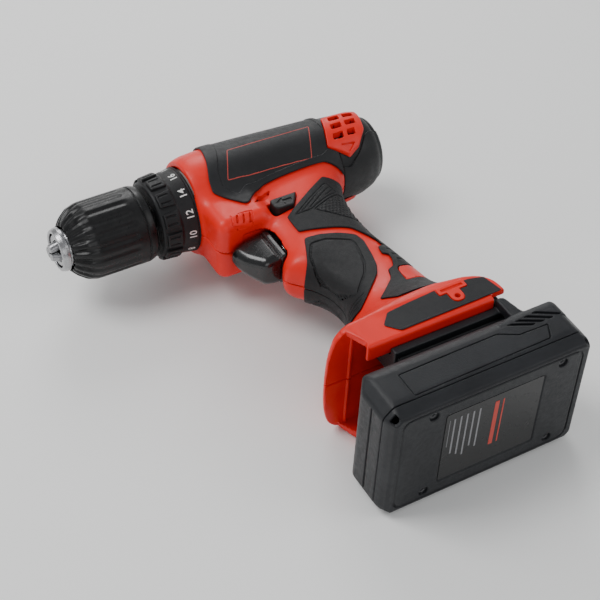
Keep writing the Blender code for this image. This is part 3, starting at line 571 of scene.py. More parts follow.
def housing_features(p, body):
    """Shallow shapes on the outside of the housing."""
    x, y, z = p
    side = np.abs(z)
    near = skin(p)
    # a raised strip along the top, which ends in a step
    strip = both(0.5, near - 0.9, -near - 2.0, side - 7.5, x - 27, -24 - x, -10 - y)
    body = any_of(body, strip)

    def sunk(shape, low, edge, *limits):
        """The body with a shape pressed into its side, down to low under the skin."""
        return cut(edge, body, both(0.1, shape, both(0.1, near - 2, -(near + low), 14.5 - side), *limits))

    # the dark notch over the direction switch, and the three marks in front of it in their frame
    body = sunk(outline(DARK_NOTCH, x, y), 1.7, 0.25)
    for number in range(3):
        start, low = -22.3 + 3.6 * number, -42.3 - 0.5 * number
        drop = soft([(start - 0.7, low), (start + 0.8, low + 0.3), (start + 2.1, low + 4.3),
                     (start + 1.3, low + 4.5)], 0.5)
        body = sunk(outline(drop, x, y), 1.3, 0.15)
    return sunk(np.abs(outline(MARK_FRAME, x, y)) - 0.3, 0.4, 0.15, y + 37.2)


def housing(p, right=False):
    x, y, z = p
    side = np.abs(z)
    body = cut(0.4, skin(p), hollow(p))
    body = housing_features(p, body)
    ceiling = block(p, (-24, 60), (-150, -147), (-33, 33), 0.4)
    body = any_of(body, ceiling)
    # the badge on the foot: a slotted bar over a round screw boss
    boss = any_of(outline(FOOT_BAR, x, y), outline(FOOT_STEM, x, y))
    body = any_of(body, both(0.3, boss, side - HALF_WIDTH, 33 - side))
    body = cut(0.2, body, both(0.2, outline(BAR_SLOT, x, y), 34.9 - side))
    hole = np.hypot(x - SCREW_BOSS[0], y - SCREW_BOSS[1])
    body = cut(0.25, body, both(0.2, hole - 1.5, 31.6 - side))
    # the red window in the back pad
    body = any_of(body, both(0.35, outline(BACK_WINDOW, x, y), skin(p) - 1.15, -skin(p) - 1.5))
    bay = any_of(
        block(p, (-60, 90), (-162, -150), (-BAY_HALF, BAY_HALF), 0.6),
        block(p, (-60, 90), (-190, -161), (-LIP_HALF, LIP_HALF), 0.4),
        block(p, (54, 90), (-190, -161), (-60, 60), 0.8),
        outline(HOOD_CUT, x, y))
    openings = (
        bay,
        block(p, (-20, 1), (-68.8, -43.2), (-10.4, 10.4), 1.6),
        outline(SWITCH_HOLE, x, y),
        block(p, (11.5, 28.5), (-155, -140), (-8.4, 8.4), 0.4))
    body = cut(0.6, body, *openings)
    # a rib across the underside of the hood
    body = any_of(body, block(p, (-19.2, -17.6), (-151.4, -149), (-BAY_HALF, BAY_HALF), 0.4))
    for px, py, deep in SCREWS:
        across = np.hypot(x - px, y - py)
        inner = both(0.3, across - 4.4, side - (deep - WALL - 0.6))
        body = any_of(body, inner)
        body = cut(0.2, body, both(0.1, across - 1.4, z - 12))
        if right:
            body = cut(0.4, body, both(0.3, across - 3.1, z + deep - 5))
    return both(0.25, body, z + GAP / 2 if right else GAP / 2 - z)


def side_panel(p):
    x, y, z = p
    d = skin(p)
    panel = both(0.45, d - 1.3, GAP - d, outline(SIDE_PANEL, x, y), 6 - z, x - REAR_EDGE + GAP)
    panel = cut(0.3, panel, outline(VENT_SHIELD, x, y) - GAP)
    # the front border stands a little proud, behind a step that follows the panel's edge
    panel = cut(0.3, panel, both(0.12, outline(PANEL_INSET, x, y), 0.92 - d))
    return panel


def label_line(p):
    d = skin(p)
    frame_line = np.abs(outline(LABEL_FRAME, p[0], p[1])) - 0.24
    return both(0.07, frame_line, d - 1.0, 0.7 - d, 6 - p[2])


BUMPER = soft([(50, -40), (50, -21), (61, -21.5), (68.5, -17.5), (76.5, -9.5), (84, -7), (95, -6),
               (95, -40)], 2)
BLIND_SLOT = soft([(57.4, -14.1), (66.6, -14.6), (61.4, -18)], 0.5)


def rear_cap(p):
    x, y, z = p
    d = barrel_side(p)
    body = both(0.8, d, REAR_EDGE + GAP - x, x - 87.8)
    # the smooth bumper under the vents stands proud of the cap
    low = outline(BUMPER, x, y)
    body = any_of(body, both(0.7, d - 0.9, low, REAR_EDGE + GAP - x, x - 87.4, -d - 2))
    body = cut(0.25, body, both(0.1, np.abs(x - 82.6) - 0.3, -0.5 - d, -low - 1))
    inside = both(0.8, d + WALL, x - 85.2)
    vents = both(0.2, vent_rows(p, 0.5), 6 - np.abs(z))
    return cut(0.4, body, inside, vents)


def vent_shield(p):
    x, y, z = p
    d = barrel_side(p)
    body = both(0.5, d - 1.9, GAP - d, outline(VENT_SHIELD, x, y), 6 - z)
    # the walls of each slot reach down into the cap
    walls = both(0.15, vent_rows(p, 0.35), d - 1.2, -1.9 - d, 6 - z, REAR_EDGE + GAP - x)
    body = any_of(body, walls)
    body = cut(0.25, body, both(0.1, outline(BLIND_SLOT, x, y), 0.9 - d))
    return cut(0.25, body, both(0.1, vent_rows(p), 6 - z))


STUD_PITCH, STUD_RADIUS, STUD_HEIGHT = 2.3, 0.75, 0.4
ROW_PAIR = 0.866 * 2         # two rows of studs over the pitch: twice the sine of 60 degrees


def studs(x, y):
    """Low round studs on a staggered grid, as a height."""
    best = np.zeros(np.shape(x))
    for shift in (0.0, 0.5):
        u = (x / STUD_PITCH + shift) % 1 - 0.5
        v = (y / (STUD_PITCH * ROW_PAIR) + shift) % 1 - 0.5
        r = np.hypot(u * STUD_PITCH, v * STUD_PITCH * ROW_PAIR)
        best = np.maximum(best, np.clip(1 - (r / STUD_RADIUS) ** 2, 0, 1))
    return best * STUD_HEIGHT


STUDDED = soft([(19, -51.5), (38.5, -43.2), (42.5, -44), (46, -44), (46, -66), (37.5, -64.5),
                (30, -60.5)], 1.5)
UPPER_LINE = soft([(8, -50.5), (35.2, -34.6), (38.6, -41.4), (17.5, -50.6)], 1.2)


def back_pad(p):
    x, y, z = p
    d = skin(p)
    off_spine = 4 - np.abs(z)
    studded, upper = outline(STUDDED, x, y), outline(UPPER_LINE, x, y)
    raised = np.where(studded < -0.6, studs(x, y), 0)
    pad = both(0.5, d - 1.25 - raised * 0.8, GAP - d, outline(BACK_PAD, x, y), -2 - x)
    # a groove round the studs and one round the stripes above them
    pad = cut(0.2, pad, both(0.1, np.abs(studded) - 0.35, 0.8 - d, off_spine))
    pad = cut(0.2, pad, both(0.1, np.abs(upper) - 0.3, 0.85 - d, off_spine))
    stripe = np.abs((x * 0.53 - y * 0.85 + 60) % 2.2 - 1.1) - 0.3
    pad = cut(0.2, pad, both(0.15, stripe, upper + 1.2, 0.85 - d, off_spine))
    # cross ribs over the spine of the grip
    ribs = both(0.3, np.abs((y + 200) % 5.0 - 2.5) - 0.45, 38.5 - x, -y - 106, y + 68, 0.75 - d)
    pad = cut(0.3, pad, ribs)
    return cut(0.3, pad, outline(BACK_WINDOW, x, y) - GAP)


PAD_INSET = soft([(4.5, -73), (13, -74), (24.5, -80.5), (24.7, -85), (21.4, -98), (17.2, -105.5), (7, -115),
                  (2.5, -100), (-1, -88), (0, -80)], 1.6)


def side_pad(p):
    x, y, z = p
    d = skin(p)
    edge = outline(SIDE_PAD, x, y)
    inset = outline(PAD_INSET, x, y)
    pad = both(0.5, d - 1.25, GAP - d, edge, GAP / 2 - z)
    pad = cut(0.25, pad, both(0.15, np.abs(inset) - 0.55, 0.75 - d, 5 - z))
    # short cross ribs below the inset, where the little finger lies
    ribs = both(0.25, np.abs((y + 200) % 3.0 - 1.5) - 0.4, 0.8 - d, y + 117.5, 1.2 - inset, edge + 2.2)
    return cut(0.25, pad, ribs)


def foot_panel(p):
    x, y, z = p
    edge = outline(FOOT_PANEL, x, y)
    panel = both(0.3, edge, z - 35.85, 35.2 - z)
    panel = cut(0.2, panel, any_of(outline(FOOT_BAR, x, y), outline(FOOT_STEM, x, y)) - GAP)
    groove = both(0.1, np.abs(edge + 2.0) - 0.18, 35.7 - z)
    return cut(0.2, panel, both(0.1, -y - 161.2, 35.55 - z), groove)


# ---------------------------------------------------------------- chuck, jaws and clutch ring

# Half sections of the turned pieces: places along X, and radii.
SLEEVE_SHAPE = soft([(-103.4, 11.7), (-103.4, 13.3), (-100.6, 16.4), (-96.2, 19.7), (-91, 21.3), (-78, 21.4),
                     (-60.6, 21.3), (-57.4, 20.2), (-57.4, 18.3), (-88, 18.3), (-97.4, 14.7)], 1.1, 4)
SLEEVE_OUTSIDE = curve([(-103.4, 13.0), (-100.6, 16.4), (-96.2, 19.6), (-91, 21.2), (-78, 21.4),
                        (-57.4, 21.2)])
FLUTES = 20
NOSE_SHAPE = soft([(-107.8, 8.6), (-103.2, 10.5), (-98, 10.8), (-97.2, 8.4), (-89, 10.2), (-88, 14.3),
                   (-60, 17.7), (-56.9, 17.7), (-56.9, 5.4), (-66.2, 5.4), (-66.2, 3.7), (-70, 3.7),
                   (-70, 5.4), (-107.8, 5.4)], 0.35, 4)
RING_SHAPE = soft([(-108.7, 9.9), (-108.4, 11.3), (-106.2, 12.1), (-104.3, 12.1), (-104.3, 11.0),
                   (-105.6, 10.7), (-108.0, 9.3)], 0.35, 4)
COLLAR_SHAPE = soft([(-54.8, 18.5), (-54.8, 20.3), (-54, 21.2), (-50, 21.9), (-45, 22.6), (-44.4, 22.9),
                     (-43.4, 22.4), (-42.4, 22.6), (-33.8, 23.9), (-33.4, 23.6), (-33.4, 21.6), (-51, 18.7),
                     (-51, 13.3), (-54.8, 13.3)], 0.5, 4)
SETTINGS = 12                # places round the clutch ring, eleven of them with a mark
DIGIT_STEP = math.radians(360 / SETTINGS)
DIGIT_START = math.radians(-56.4)
JAW_ANGLE, JAW_RADIUS, JAW_LENGTH = math.asin(0.287361), 3.0, 24.5
JAW_TIP = (-112.0, 1.62)     # where a closed jaw's axis meets its tip: along X, and out from the spindle


def around(p):
    """Distance from the spindle's axis, and the angle from +Z toward +Y."""
    return np.hypot(p[1], p[2]), np.arctan2(p[1], p[2])


def chuck_sleeve(p):
    r, angle = around(p)
    body = outline(SLEEVE_SHAPE, p[0], r)
    # scooped flutes over the front shoulder, which run back as long shallow channels
    turn = np.abs((angle * FLUTES / (2 * math.pi)) % 1 - 0.5) * 2
    x = p[0]
    depth = 1.15 * np.exp(-((x + 99.4) / 4.0) ** 2) + 0.5 / (1 + np.exp((np.abs(x + 83.5) - 15) * 1.6))
    scoop = np.cos(np.clip(turn * 1.3, 0, 1) * math.pi / 2) ** 2
    outer = np.interp(x, *SLEEVE_OUTSIDE)
    body = body + depth * scoop * np.clip((r - outer + 3.2) / 1.4, 0, 1)
    groove = both(0.1, np.abs(x + 62.6) - 0.4, 20.8 - r)
    return cut(0.25, body, groove) * 0.93


def clutch_collar(p):
    x = p[0]
    r, angle = around(p)
    body = outline(COLLAR_SHAPE, x, r)
    turn = ((angle - DIGIT_START) * SETTINGS / (2 * math.pi) + 0.5) % 1 - 0.5
    across = np.abs(turn) * 2 * math.pi * 23 / SETTINGS
    lug = both(0.6, across - 4.3 - (x + 50) * 0.06, x + 44.6, -53.2 - x, r - (23.5 + (x + 50) * 0.09), 20 - r)
    body = any_of(body, lug)
    dip = both(0.35, np.abs(across - 2.2) - 0.45, x + 46.3, -52 - x, 22.9 + (x + 50) * 0.09 - r)
    return cut(0.25, body, dip, both(0.1, np.abs(x + 34.9) - 0.2, 23.3 - r)) * 0.95


def jaw_frame(p, number):
    """A point seen from a jaw: out from the spindle, across, along the jaw, and off its axis."""
    turn = 2 * math.pi * number / 3 + math.pi / 2
    c, s = math.cos(turn), math.sin(turn)
    out, across = c * p[1] + s * p[2], -s * p[1] + c * p[2]
    slope, rise = math.cos(JAW_ANGLE), math.sin(JAW_ANGLE)
    along = (p[0] - JAW_TIP[0]) * slope + (out - JAW_TIP[1]) * rise
    off = (out - JAW_TIP[1]) * slope - (p[0] - JAW_TIP[0]) * rise
    return out, across, along, off


def chuck_body(p):
    r, _ = around(p)
    body = outline(NOSE_SHAPE, p[0], r)
    for number in range(3):
        out, across, _, off = jaw_frame(p, number)
        channel = both(0.1, np.hypot(off, across) - JAW_RADIUS - 0.3, -out - 1.2)
        body = cut(0.25, body, channel)
    return cut(0.2, body, both(0.1, r - 5.4, p[0] + 70))


def jaw_shape(p, number):
    x = p[0]
    out, across, along, off = jaw_frame(p, number)
    body = both(0.25, np.hypot(off, across) - JAW_RADIUS, along - JAW_LENGTH, JAW_TIP[0] - x)
    # the gripping side: two flats that meet over the spindle's axis, with a narrow land between them
    wedge = both(0.1, 0.38 - out, (np.abs(across) * 0.5 - (out - 0.36) * math.sin(math.radians(60))))
    body = both(0.12, body, wedge)
    # the thread along the back of the jaw, and fine ridges across its grip
    teeth = both(0.1, np.abs((along + 100) % 1.6 - 0.8) - 0.34, 9 - along, 2.62 - off)
    serration = both(0.05, np.abs((x + 200) % 1.2 - 0.6) - 0.16, 0.62 - out - 0.25, x + 96)
    return cut(0.12, body, teeth, serration + np.where(out > 0.62, 9, 0))


# ---------------------------------------------------------------- trigger, switch, pack and latch

STEM_Y = -56                 # the height of the trigger's stem and spring
TRIGGER_SIDE = soft([(-8.6, -44.7), (-24.6, -44.7), (-28.4, -46.6), (-28.4, -51), (-26.4, -57),
                     (-22.9, -62.5),
                     (-19.6, -67.2), (-16.4, -68.1), (-8.6, -68.1)], 2.0)


def trigger(p):
    x, y, z = p
    front = outline(TRIGGER_SIDE, x, y)
    wide = 9.75 - 0.0125 * np.minimum(x + 8.8, 0) ** 2
    face = both(0.5, both(4.2, front, np.abs(z) - wide), x + 8.8)
    # the skirt behind the face, round the spring's end
    skirt = block(p, (-10, -5.4), (-67.9, -44.9), (-9.6, 9.6), 1.6)
    face = cut(0.3, any_of(face, skirt), rod(p, (-8.8, STEM_Y, 0), (2, STEM_Y, 0), 5.6))
    face = cut(0.4, face, both(0.2, np.abs(x + 11.6) - 0.3, 9.0 - np.abs(z)))
    stem = rod(p, (-12, STEM_Y, 0), (6, STEM_Y, 0), 2.4)
    return any_of(face, stem)


SWITCH_SIDE = soft([(-0.2, -37), (0.8, -35.7), (16.6, -35.7), (10.6, -44.1), (1.6, -44.1),
                    (-0.2, -41.4)], 1.3)


ARROW = soft([(2.4, -39.6), (6.6, -36.9), (6.6, -38.8), (11.4, -38.8), (11.4, -40.5), (6.6, -40.5),
              (6.6, -42.4)], 0.2)


def direction_switch(p):
    x, y, z = p
    side = np.abs(z)
    body = both(0.8, outline(SWITCH_SIDE, x, y), side - 20.5)
    # an arrow moulded into each end
    return cut(0.2, body, both(0.1, outline(ARROW, x, y), 20.0 - side))


PACK_MIDDLE, PACK_REACH = 24, 58        # along X
PACK_TOP, SEAM, PACK_BASE = -176.9, -202.2, -210
RAIL_TOP = -152.6
CORNER_CUT = 6
DIAGONAL = 0.7071            # the sine of 45 degrees


def pack_solid(p):
    """The outside of the whole pack: a box with chamfered corners over and under its side flats."""
    x, y, z = p
    side = np.abs(z)
    ends = np.abs(x - PACK_MIDDLE) - PACK_REACH
    box = both(1.6, ends, side - HALF_WIDTH, y - PACK_TOP, PACK_BASE - y)
    corner = (ends + side - HALF_WIDTH + CORNER_CUT) * DIAGONAL
    low = ((side - HALF_WIDTH) * 3 + (-202.6 - y)) / math.sqrt(10)
    low_end = (ends * 2.2 + (-203.5 - y)) / math.sqrt(5.84)
    top = ((side - 35.9) + (y + 181.4) * 0.55) / 1.141
    top_end = (ends + 0.6 + (y + 182.6) * 0.75) / 1.25
    return both(1.3, box, corner, low, low_end, top, top_end)


PACK_LABEL = soft([(-16, -186.6), (40.2, -186), (49.6, -191.3), (66, -191.6), (61.6, -199.8),
                   (-16, -200.8)], 1.0)
PACK_BARS = [soft(bar, 0.7) for bar in (
    [(47.4, -183.5), (50.4, -183.3), (61.4, -188.6), (58.6, -188.9)],
    [(52.6, -183.0), (55.6, -182.8), (66.6, -188.8), (63.8, -189.1)],
    [(57.8, -182.5), (60.8, -182.3), (71.8, -188.8), (69.0, -189.1)],
    [(63.0, -182.0), (66.0, -181.8), (76.8, -188.4), (74.0, -188.7)])]
FIN_SIDE = soft([(54.6, -181), (54.6, -164.8), (56.4, -164.2), (59.2, -165), (61.6, -176.5), (66, -181)], 1.2)
BAR_FIELD = soft([(44, -181.5), (52, -178), (79, -178), (79.6, -189.5), (57.6, -190), (44.6, -184.2)], 1.0)
BASE_FIELD = soft([(-3, -24), (54, -24), (54, 24), (-3, 24)], 2)
BASE_RIM = soft([(-27, -31), (75, -31), (75, 31), (-27, 31)], 5)
PACK_SCREWS = [(x, z) for x in (-10, 63.4) for z in (-27, 27)]


def pack_upper(p):
    x, y, z = p
    side = np.abs(z)
    whole = pack_solid(p)
    body = both(0.3, whole, SEAM - y)
    # the fins that close the hood's rear end
    fins = both(1.0, outline(FIN_SIDE, x, y), side - 34.2, 28.4 - side)
    body = any_of(body, fins)
    # the rails: a plate and a T-shaped head over it, and the block that the latch slides in
    body = any_of(body,
                  block(p, (-4, 59), (-179, -169.6), (-25.8, 25.8), 0.4),
                  block(p, (-6.3, 59.8), (-170, -165.4), (-29.8, 29.8), 0.8),
                  block(p, (-6, 60), (-167, -160), (-25, 25), 0.4),
                  block(p, (-6, 60), (-161.6, RAIL_TOP - 0.1), (-29.3, 29.3), 1.0),
                  block(p, (57, 77.8), (-180, -169.6), (-19.8, 19.8), 1.4))
    # the raised field of the air slots
    field = outline(BAR_FIELD, x, y)
    body = any_of(body, both(0.5, field, whole - 0.6, -2 - whole, 20 - side, side - 35.95))
    inside = both(1.0, whole + 1.9, y + 182)
    body = cut(0.3, body, inside, block(p, (0, 56), (-187, -165.6), (-22, 22), 0.6),
               block(p, (70.1, 92), (-188.4, -168), (-16.4, 16.4), 0.8),
               block(p, (-10, 34), (-163, -150), (-12.5, 12.5), 0.8),
               both(0.2, np.abs(side - 5.9) - 1.7, np.abs(x - 42.5) - 9.4, -158 - y))
    # the thin outline of the side label, and the slanted air slots
    label = np.abs(outline(PACK_LABEL, x, y)) - 0.3
    body = cut(0.12, body, both(0.1, label, 35.45 - side))
    for bar in PACK_BARS:
        body = cut(0.3, body, both(0.2, outline(bar, x, y), -1.35 - whole, 20 - side))
    # a long crease along the front and rear ends
    crease = both(0.2, np.abs(y + 193.5) - 0.3, -0.5 - whole, side - 29)
    return cut(0.2, body, crease)


def pack_lower(p):
    x, y, z = p
    side = np.abs(z)
    whole = pack_solid(p)
    body = both(0.3, whole, y - SEAM + GAP)
    body = cut(0.4, body, both(0.8, whole + 1.9, y + 203))
    # the sunken field of the base label, a rim line, and the screw recesses
    body = cut(0.3, body, both(0.4, outline(BASE_FIELD, x, z), y + 209.4))
    rim = both(0.15, np.abs(outline(BASE_RIM, x, z)) - 0.35, y + 209.5)
    body = cut(0.25, body, rim)
    for px, pz in PACK_SCREWS:
        body = cut(0.35, body, both(0.2, np.hypot(x - px, z - pz) - 2.6, y + 208.5))
    # a deep notch in each corner of the base
    ends = np.abs(x - PACK_MIDDLE) - PACK_REACH
    corner = (ends + side - HALF_WIDTH + CORNER_CUT) * DIAGONAL
    notch = both(0.8, np.abs(ends - (side - HALF_WIDTH)) - 3.0, -1.9 - corner, y + 205.2)
    return cut(0.4, body, notch)


LATCH_SIDE = soft([(70.7, -184.3), (80.6, -184.3), (81.6, -182), (81.6, -174.4), (79.4, -170.7),
                   (74, -170.7), (70.7, -172)], 1.2)
LABEL_SHAPE = soft([(-2.4, -23.4), (53.4, -23.4), (53.4, 23.4), (-2.4, 23.4)], 1.6)


def latch(p):
    x, y, z = p
    body = both(0.9, outline(LATCH_SIDE, x, y), np.abs(z) - 15.8)
    grooves = both(0.25, np.abs((y + 200) % 2.6 - 1.3) - 0.5, 81.0 - x, np.abs(z) - 11, y + 174.8, -183 - y)
    return cut(0.35, body, grooves)


def base_label(p):
    """A plain glossy label. Its printed words are left out."""
    x, y, z = p
    return both(0.1, outline(LABEL_SHAPE, x, z), y + 209.35, -209.75 - y)


def ink(p, bars):
    """Flat bars of ink on the base label, from (places along X, places along Z, radius) rows."""
    shapes = [block(p, along, (PACK_BASE, PACK_BASE + 1), wide, radius) for along, wide, radius in bars]
    return both(0.05, any_of(*shapes), p[1] + 209.6, -209.86 - p[1])


GREY_BARS = [((-0.4, 0.0), (0, 19), 0.1)]
GREY_BARS += [((2 + 3.6 * i, 3.1 + 3.6 * i), (-6 - 2.2 * (i % 3), 19), 0.3) for i in range(5)]
RED_BARS = [((25.5, 28), (-12, 19), 0.3), ((30, 31), (-12, 19), 0.3)]


# ---------------------------------------------------------------- screws and the trigger's spring

SCREW_SIDES, LOBE_DEPTH = 36, 0.16
THREAD_PITCH = 1.0


def bolt(name, centre, axis, profile, body):
    """A screw turned from (along, radius, lobed) rows; lobed rows make its six-lobed recess."""
    centre, axis = Vector(centre), Vector(axis).normalized()
    side = axis.orthogonal().normalized()
    up = axis.cross(side)
    points, faces = [], []
    for along, radius, lobed in profile:
        for i in range(SCREW_SIDES):
            angle = 2 * math.pi * i / SCREW_SIDES
            r = radius * (1 + (LOBE_DEPTH * math.cos(6 * angle) if lobed else 0))
            points.append(centre + axis * along + (side * math.cos(angle) + up * math.sin(angle)) * r)
    for row in range(0, SCREW_SIDES * (len(profile) - 1), SCREW_SIDES):
        for i in range(SCREW_SIDES):
            a, b = row + i, row + (i + 1) % SCREW_SIDES
            faces.append((a, b, b + SCREW_SIDES, a + SCREW_SIDES))
    last, end = len(points), len(points) - SCREW_SIDES
    points += [centre + axis * profile[0][0], centre + axis * profile[-1][0]]
    faces += [(last, (i + 1) % SCREW_SIDES, i) for i in range(SCREW_SIDES)]
    faces += [(last + 1, end + i, end + (i + 1) % SCREW_SIDES) for i in range(SCREW_SIDES)]
    mesh = bpy.data.meshes.new(name)
    mesh.from_pydata([tuple((np.array(p) + ORIGIN) / 1000) for p in points], [], faces)
    mesh.update()
    mesh.shade_smooth()
    thing = add_piece(name, mesh, SCREW, body)
    split = thing.modifiers.new("edges", "EDGE_SPLIT")
    split.split_angle = math.radians(34)


def screw_profile(head, shank, length, thread):
    """A pan-headed screw with a star recess, from the bottom of its recess round to its point."""
    made = [(-1.3, head * 0.30, True), (-0.25, head * 0.44, True)]
    made += [(along, radius, False) for along, radius in (
        (0.0, head * 0.55), (-0.05, head * 0.78), (-0.35, head * 0.93), (-0.9, head), (-1.9, head),
        (-2.0, head * 0.92), (-2.05, shank))]
    at = -3.0
    while at > -length + 1.2:
        for back, radius in ((0, shank - 0.12), (0.4, shank + thread), (0.8, shank - 0.12)):
            made.append((at - THREAD_PITCH * back, radius, False))
        at -= THREAD_PITCH
    return made + [(-length + 0.8, shank * 0.7, False), (-length, shank * 0.15, False)]


def coil(start, end, radius, wire, turns, sides=10, per_turn=28):
    """A compression spring along X behind the trigger, its ends wound flat: points and quads."""
    steps = int(turns * per_turn)
    points, faces = [], []
    for i in range(steps + 1):
        t = i / steps
        rise = np.interp(t, (0, 0.14, 0.86, 1), (0, 0.045, 0.955, 1))
        angle = 2 * math.pi * turns * t
        x = start + wire + (end - start - 2 * wire) * rise
        out = (math.cos(angle), math.sin(angle))
        for k in range(sides):
            turn = 2 * math.pi * k / sides
            r = radius + wire * math.cos(turn)
            points.append((x + wire * math.sin(turn), STEM_Y + r * out[0], r * out[1]))
            if i:
                a, b = (i - 1) * sides + k, (i - 1) * sides + (k + 1) % sides
                faces.append((a, b, b + sides, a + sides))
    return np.array(points), np.array(faces)


# ---------------------------------------------------------------- numbers and symbols

def flat_text(word, size):
    """A number as triangles in its own plane, centred, in millimetres."""
    curve_data = bpy.data.curves.new("word", "FONT")
    curve_data.body = word
    curve_data.size = size
    curve_data.align_x = "CENTER"
    curve_data.align_y = "CENTER"
    curve_data.offset = size * 0.012
    curve_data.resolution_u = 4
    thing = bpy.data.objects.new("word", curve_data)
    bpy.context.scene.collection.objects.link(thing)
    bpy.context.view_layer.update()
    mesh = bpy.data.meshes.new_from_object(thing.evaluated_get(bpy.context.evaluated_depsgraph_get()))
    bpy.data.objects.remove(thing)
    return mesh


def printed(name, flat, place, look, body):
    """A flat shape laid on a curved surface; place(u, v) gives a point in the drill's frame."""
    shape = bmesh.new()
    shape.from_mesh(flat)
    bmesh.ops.triangulate(shape, faces=shape.faces)
    bmesh.ops.subdivide_edges(shape, edges=[e for e in shape.edges if e.calc_length() > 0.7], cuts=2,
                              use_grid_fill=False)
    bmesh.ops.triangulate(shape, faces=shape.faces)
    for vertex in shape.verts:
        vertex.co = Vector((np.array(place(vertex.co.x, vertex.co.y)) + ORIGIN) / 1000)
    mesh = bpy.data.meshes.new(name)
    shape.to_mesh(mesh)
    shape.free()
    add_piece(name, mesh, look, body)


def collar_place(angle):
    def place(u, v):
        """u reads round the ring toward +Y, v is the way up of the characters (toward the chuck)."""
        x = -38.4 - v
        r = np.interp(x, (-42.4, -33.8), (22.6, 23.9)) + 0.06
        a = angle + u / r
        return x, r * math.sin(a), r * math.cos(a)
    return place


def drill_symbol():
    """A twist drill drawn flat: a shank and a slanted, fluted point."""
    mesh = bpy.data.meshes.new("symbol")
    points = [(-3.4, -0.6), (-1.6, -0.6), (-1.6, 0.6), (-3.4, 0.6)]
    faces = [(0, 1, 2, 3)]
    for i in range(4):
        x = -1.3 + i * 1.05
        start = len(points)
        points += [(x, -0.95), (x + 0.55, -0.95), (x + 0.95, 0.95), (x + 0.4, 0.95)]
        faces.append((start, start + 1, start + 2, start + 3))
    start = len(points)
    points += [(2.95, -0.8), (3.7, 0.0), (3.1, 0.8)]
    faces.append((start, start + 1, start + 2))
    mesh.from_pydata([(x, y, 0) for x, y in points], [], faces)
    return mesh


# ---------------------------------------------------------------- the pieces

# Boxes on the left half of the housing that need a finer mesh: the notch and the badge.
FINE_PLACES = [((-27, -46.5, 13), (9, -27, 30)), ((29, -161, 32), (48.5, -144.5, 42))]
FINE_STEP = 0.32


def build_shell():
    fine = [(low, high, FINE_STEP) for low, high in FINE_PLACES]
    solid("housing_left", housing, (-33.5, -167, 0), (64, 28, 36.2), 0.92, RED, "drill_body",
          fine)
    fine = [((*low[:2], -high[2]), (*high[:2], -low[2]), FINE_STEP) for low, high in FINE_PLACES]
    solid("housing_right", partial(housing, right=True), (-33.5, -167, -36.2), (64, 28, 0), 0.92, RED,
          "drill_body", fine)
    pair("side_panel", side_panel, (-29, -35, 5), (55, 22, 32), 0.42, DARK, "drill_body")
    pair("label_line", label_line, (-16, -19, 20), (48, 4, 31), 0.22, PRINT_RED, "drill_body")
    pair("vent_shield", vent_shield, (48, -21, 8), (81, 10, 29), 0.36, RED, "drill_body")
    solid("rear_cap", rear_cap, (54.5, -26, -28), (88.4, 26, 28), 0.56, CAP, "drill_body")
    solid("grip_back_pad", back_pad, (2, -138, -32), (60, -27, 32), 0.5, RUBBER, "drill_body")
    pair("grip_pad", side_pad, (-12, -129, 0), (33, -65, 22), 0.45, RUBBER, "drill_body")
    pair("foot_panel", foot_panel, (-6, -164, 34), (62, -145, 37), 0.35, DARK, "drill_body")
    for number, (x, y, deep) in enumerate(SCREWS):
        top = -(deep - 4.7)
        bolt(f"housing_screw_{number + 1}", (x, y, top), (0, 0, -1),
             screw_profile(2.6, 1.25, 11 - top, 0.25), "drill_body")


def build_chuck():
    solid("chuck_sleeve", chuck_sleeve, (-104.5, -22.5, -22.5), (-56.5, 22.5, 22.5), 0.46, SLEEVE,
          "chuck_sleeve")
    solid("chuck_body", chuck_body, (-108.5, -18.5, -18.5), (-56, 18.5, 18.5), 0.55, STEEL, "chuck")
    solid("nose_ring", lambda p: outline(RING_SHAPE, p[0], around(p)[0]), (-109, -13, -13),
          (-103.8, 13, 13), 0.3, STEEL, "chuck")
    for number in range(3):
        name = f"jaw_{number + 1}"
        low, high = cad(name)
        solid(name, partial(jaw_shape, number=number), low - 0.3, high + 0.3, 0.2, JAW, name)
    solid("clutch_ring", clutch_collar, (-55.5, -25.5, -25.5), (-33, 25.5, 25.5), 0.4, COLLAR,
          "clutch_ring")
    # the settings run 2, 4, 6 and so on to 20, and then the drill symbol; 12 faces up in the view
    for place in (0, 1, 2, 3, 4, 5, -1, -2, -3, -4, -5):
        word = str(12 + 2 * place) if place < 5 else ""
        printed(f"setting_{word or 'drill'}", flat_text(word, 5.6) if word else drill_symbol(),
                collar_place(DIGIT_START + DIGIT_STEP * place), WHITE, "clutch_ring")


def build_controls():
    solid("trigger", trigger, (-29, -69, -10.2), (6.5, -44, 10.2), 0.42, GLOSS, "trigger")
    low, high = cad("trigger_spring")
    mesh = mesh_from("trigger_spring", *coil(low[0], high[0], 4.0, 0.45, 5.5))
    spring = add_piece("trigger_spring", mesh, SPRING, "drill_body")
    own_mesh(spring)
    solid("direction_switch", direction_switch, (-1, -45, -21), (18, -35, 21), 0.27, BLACK,
          "direction_switch")


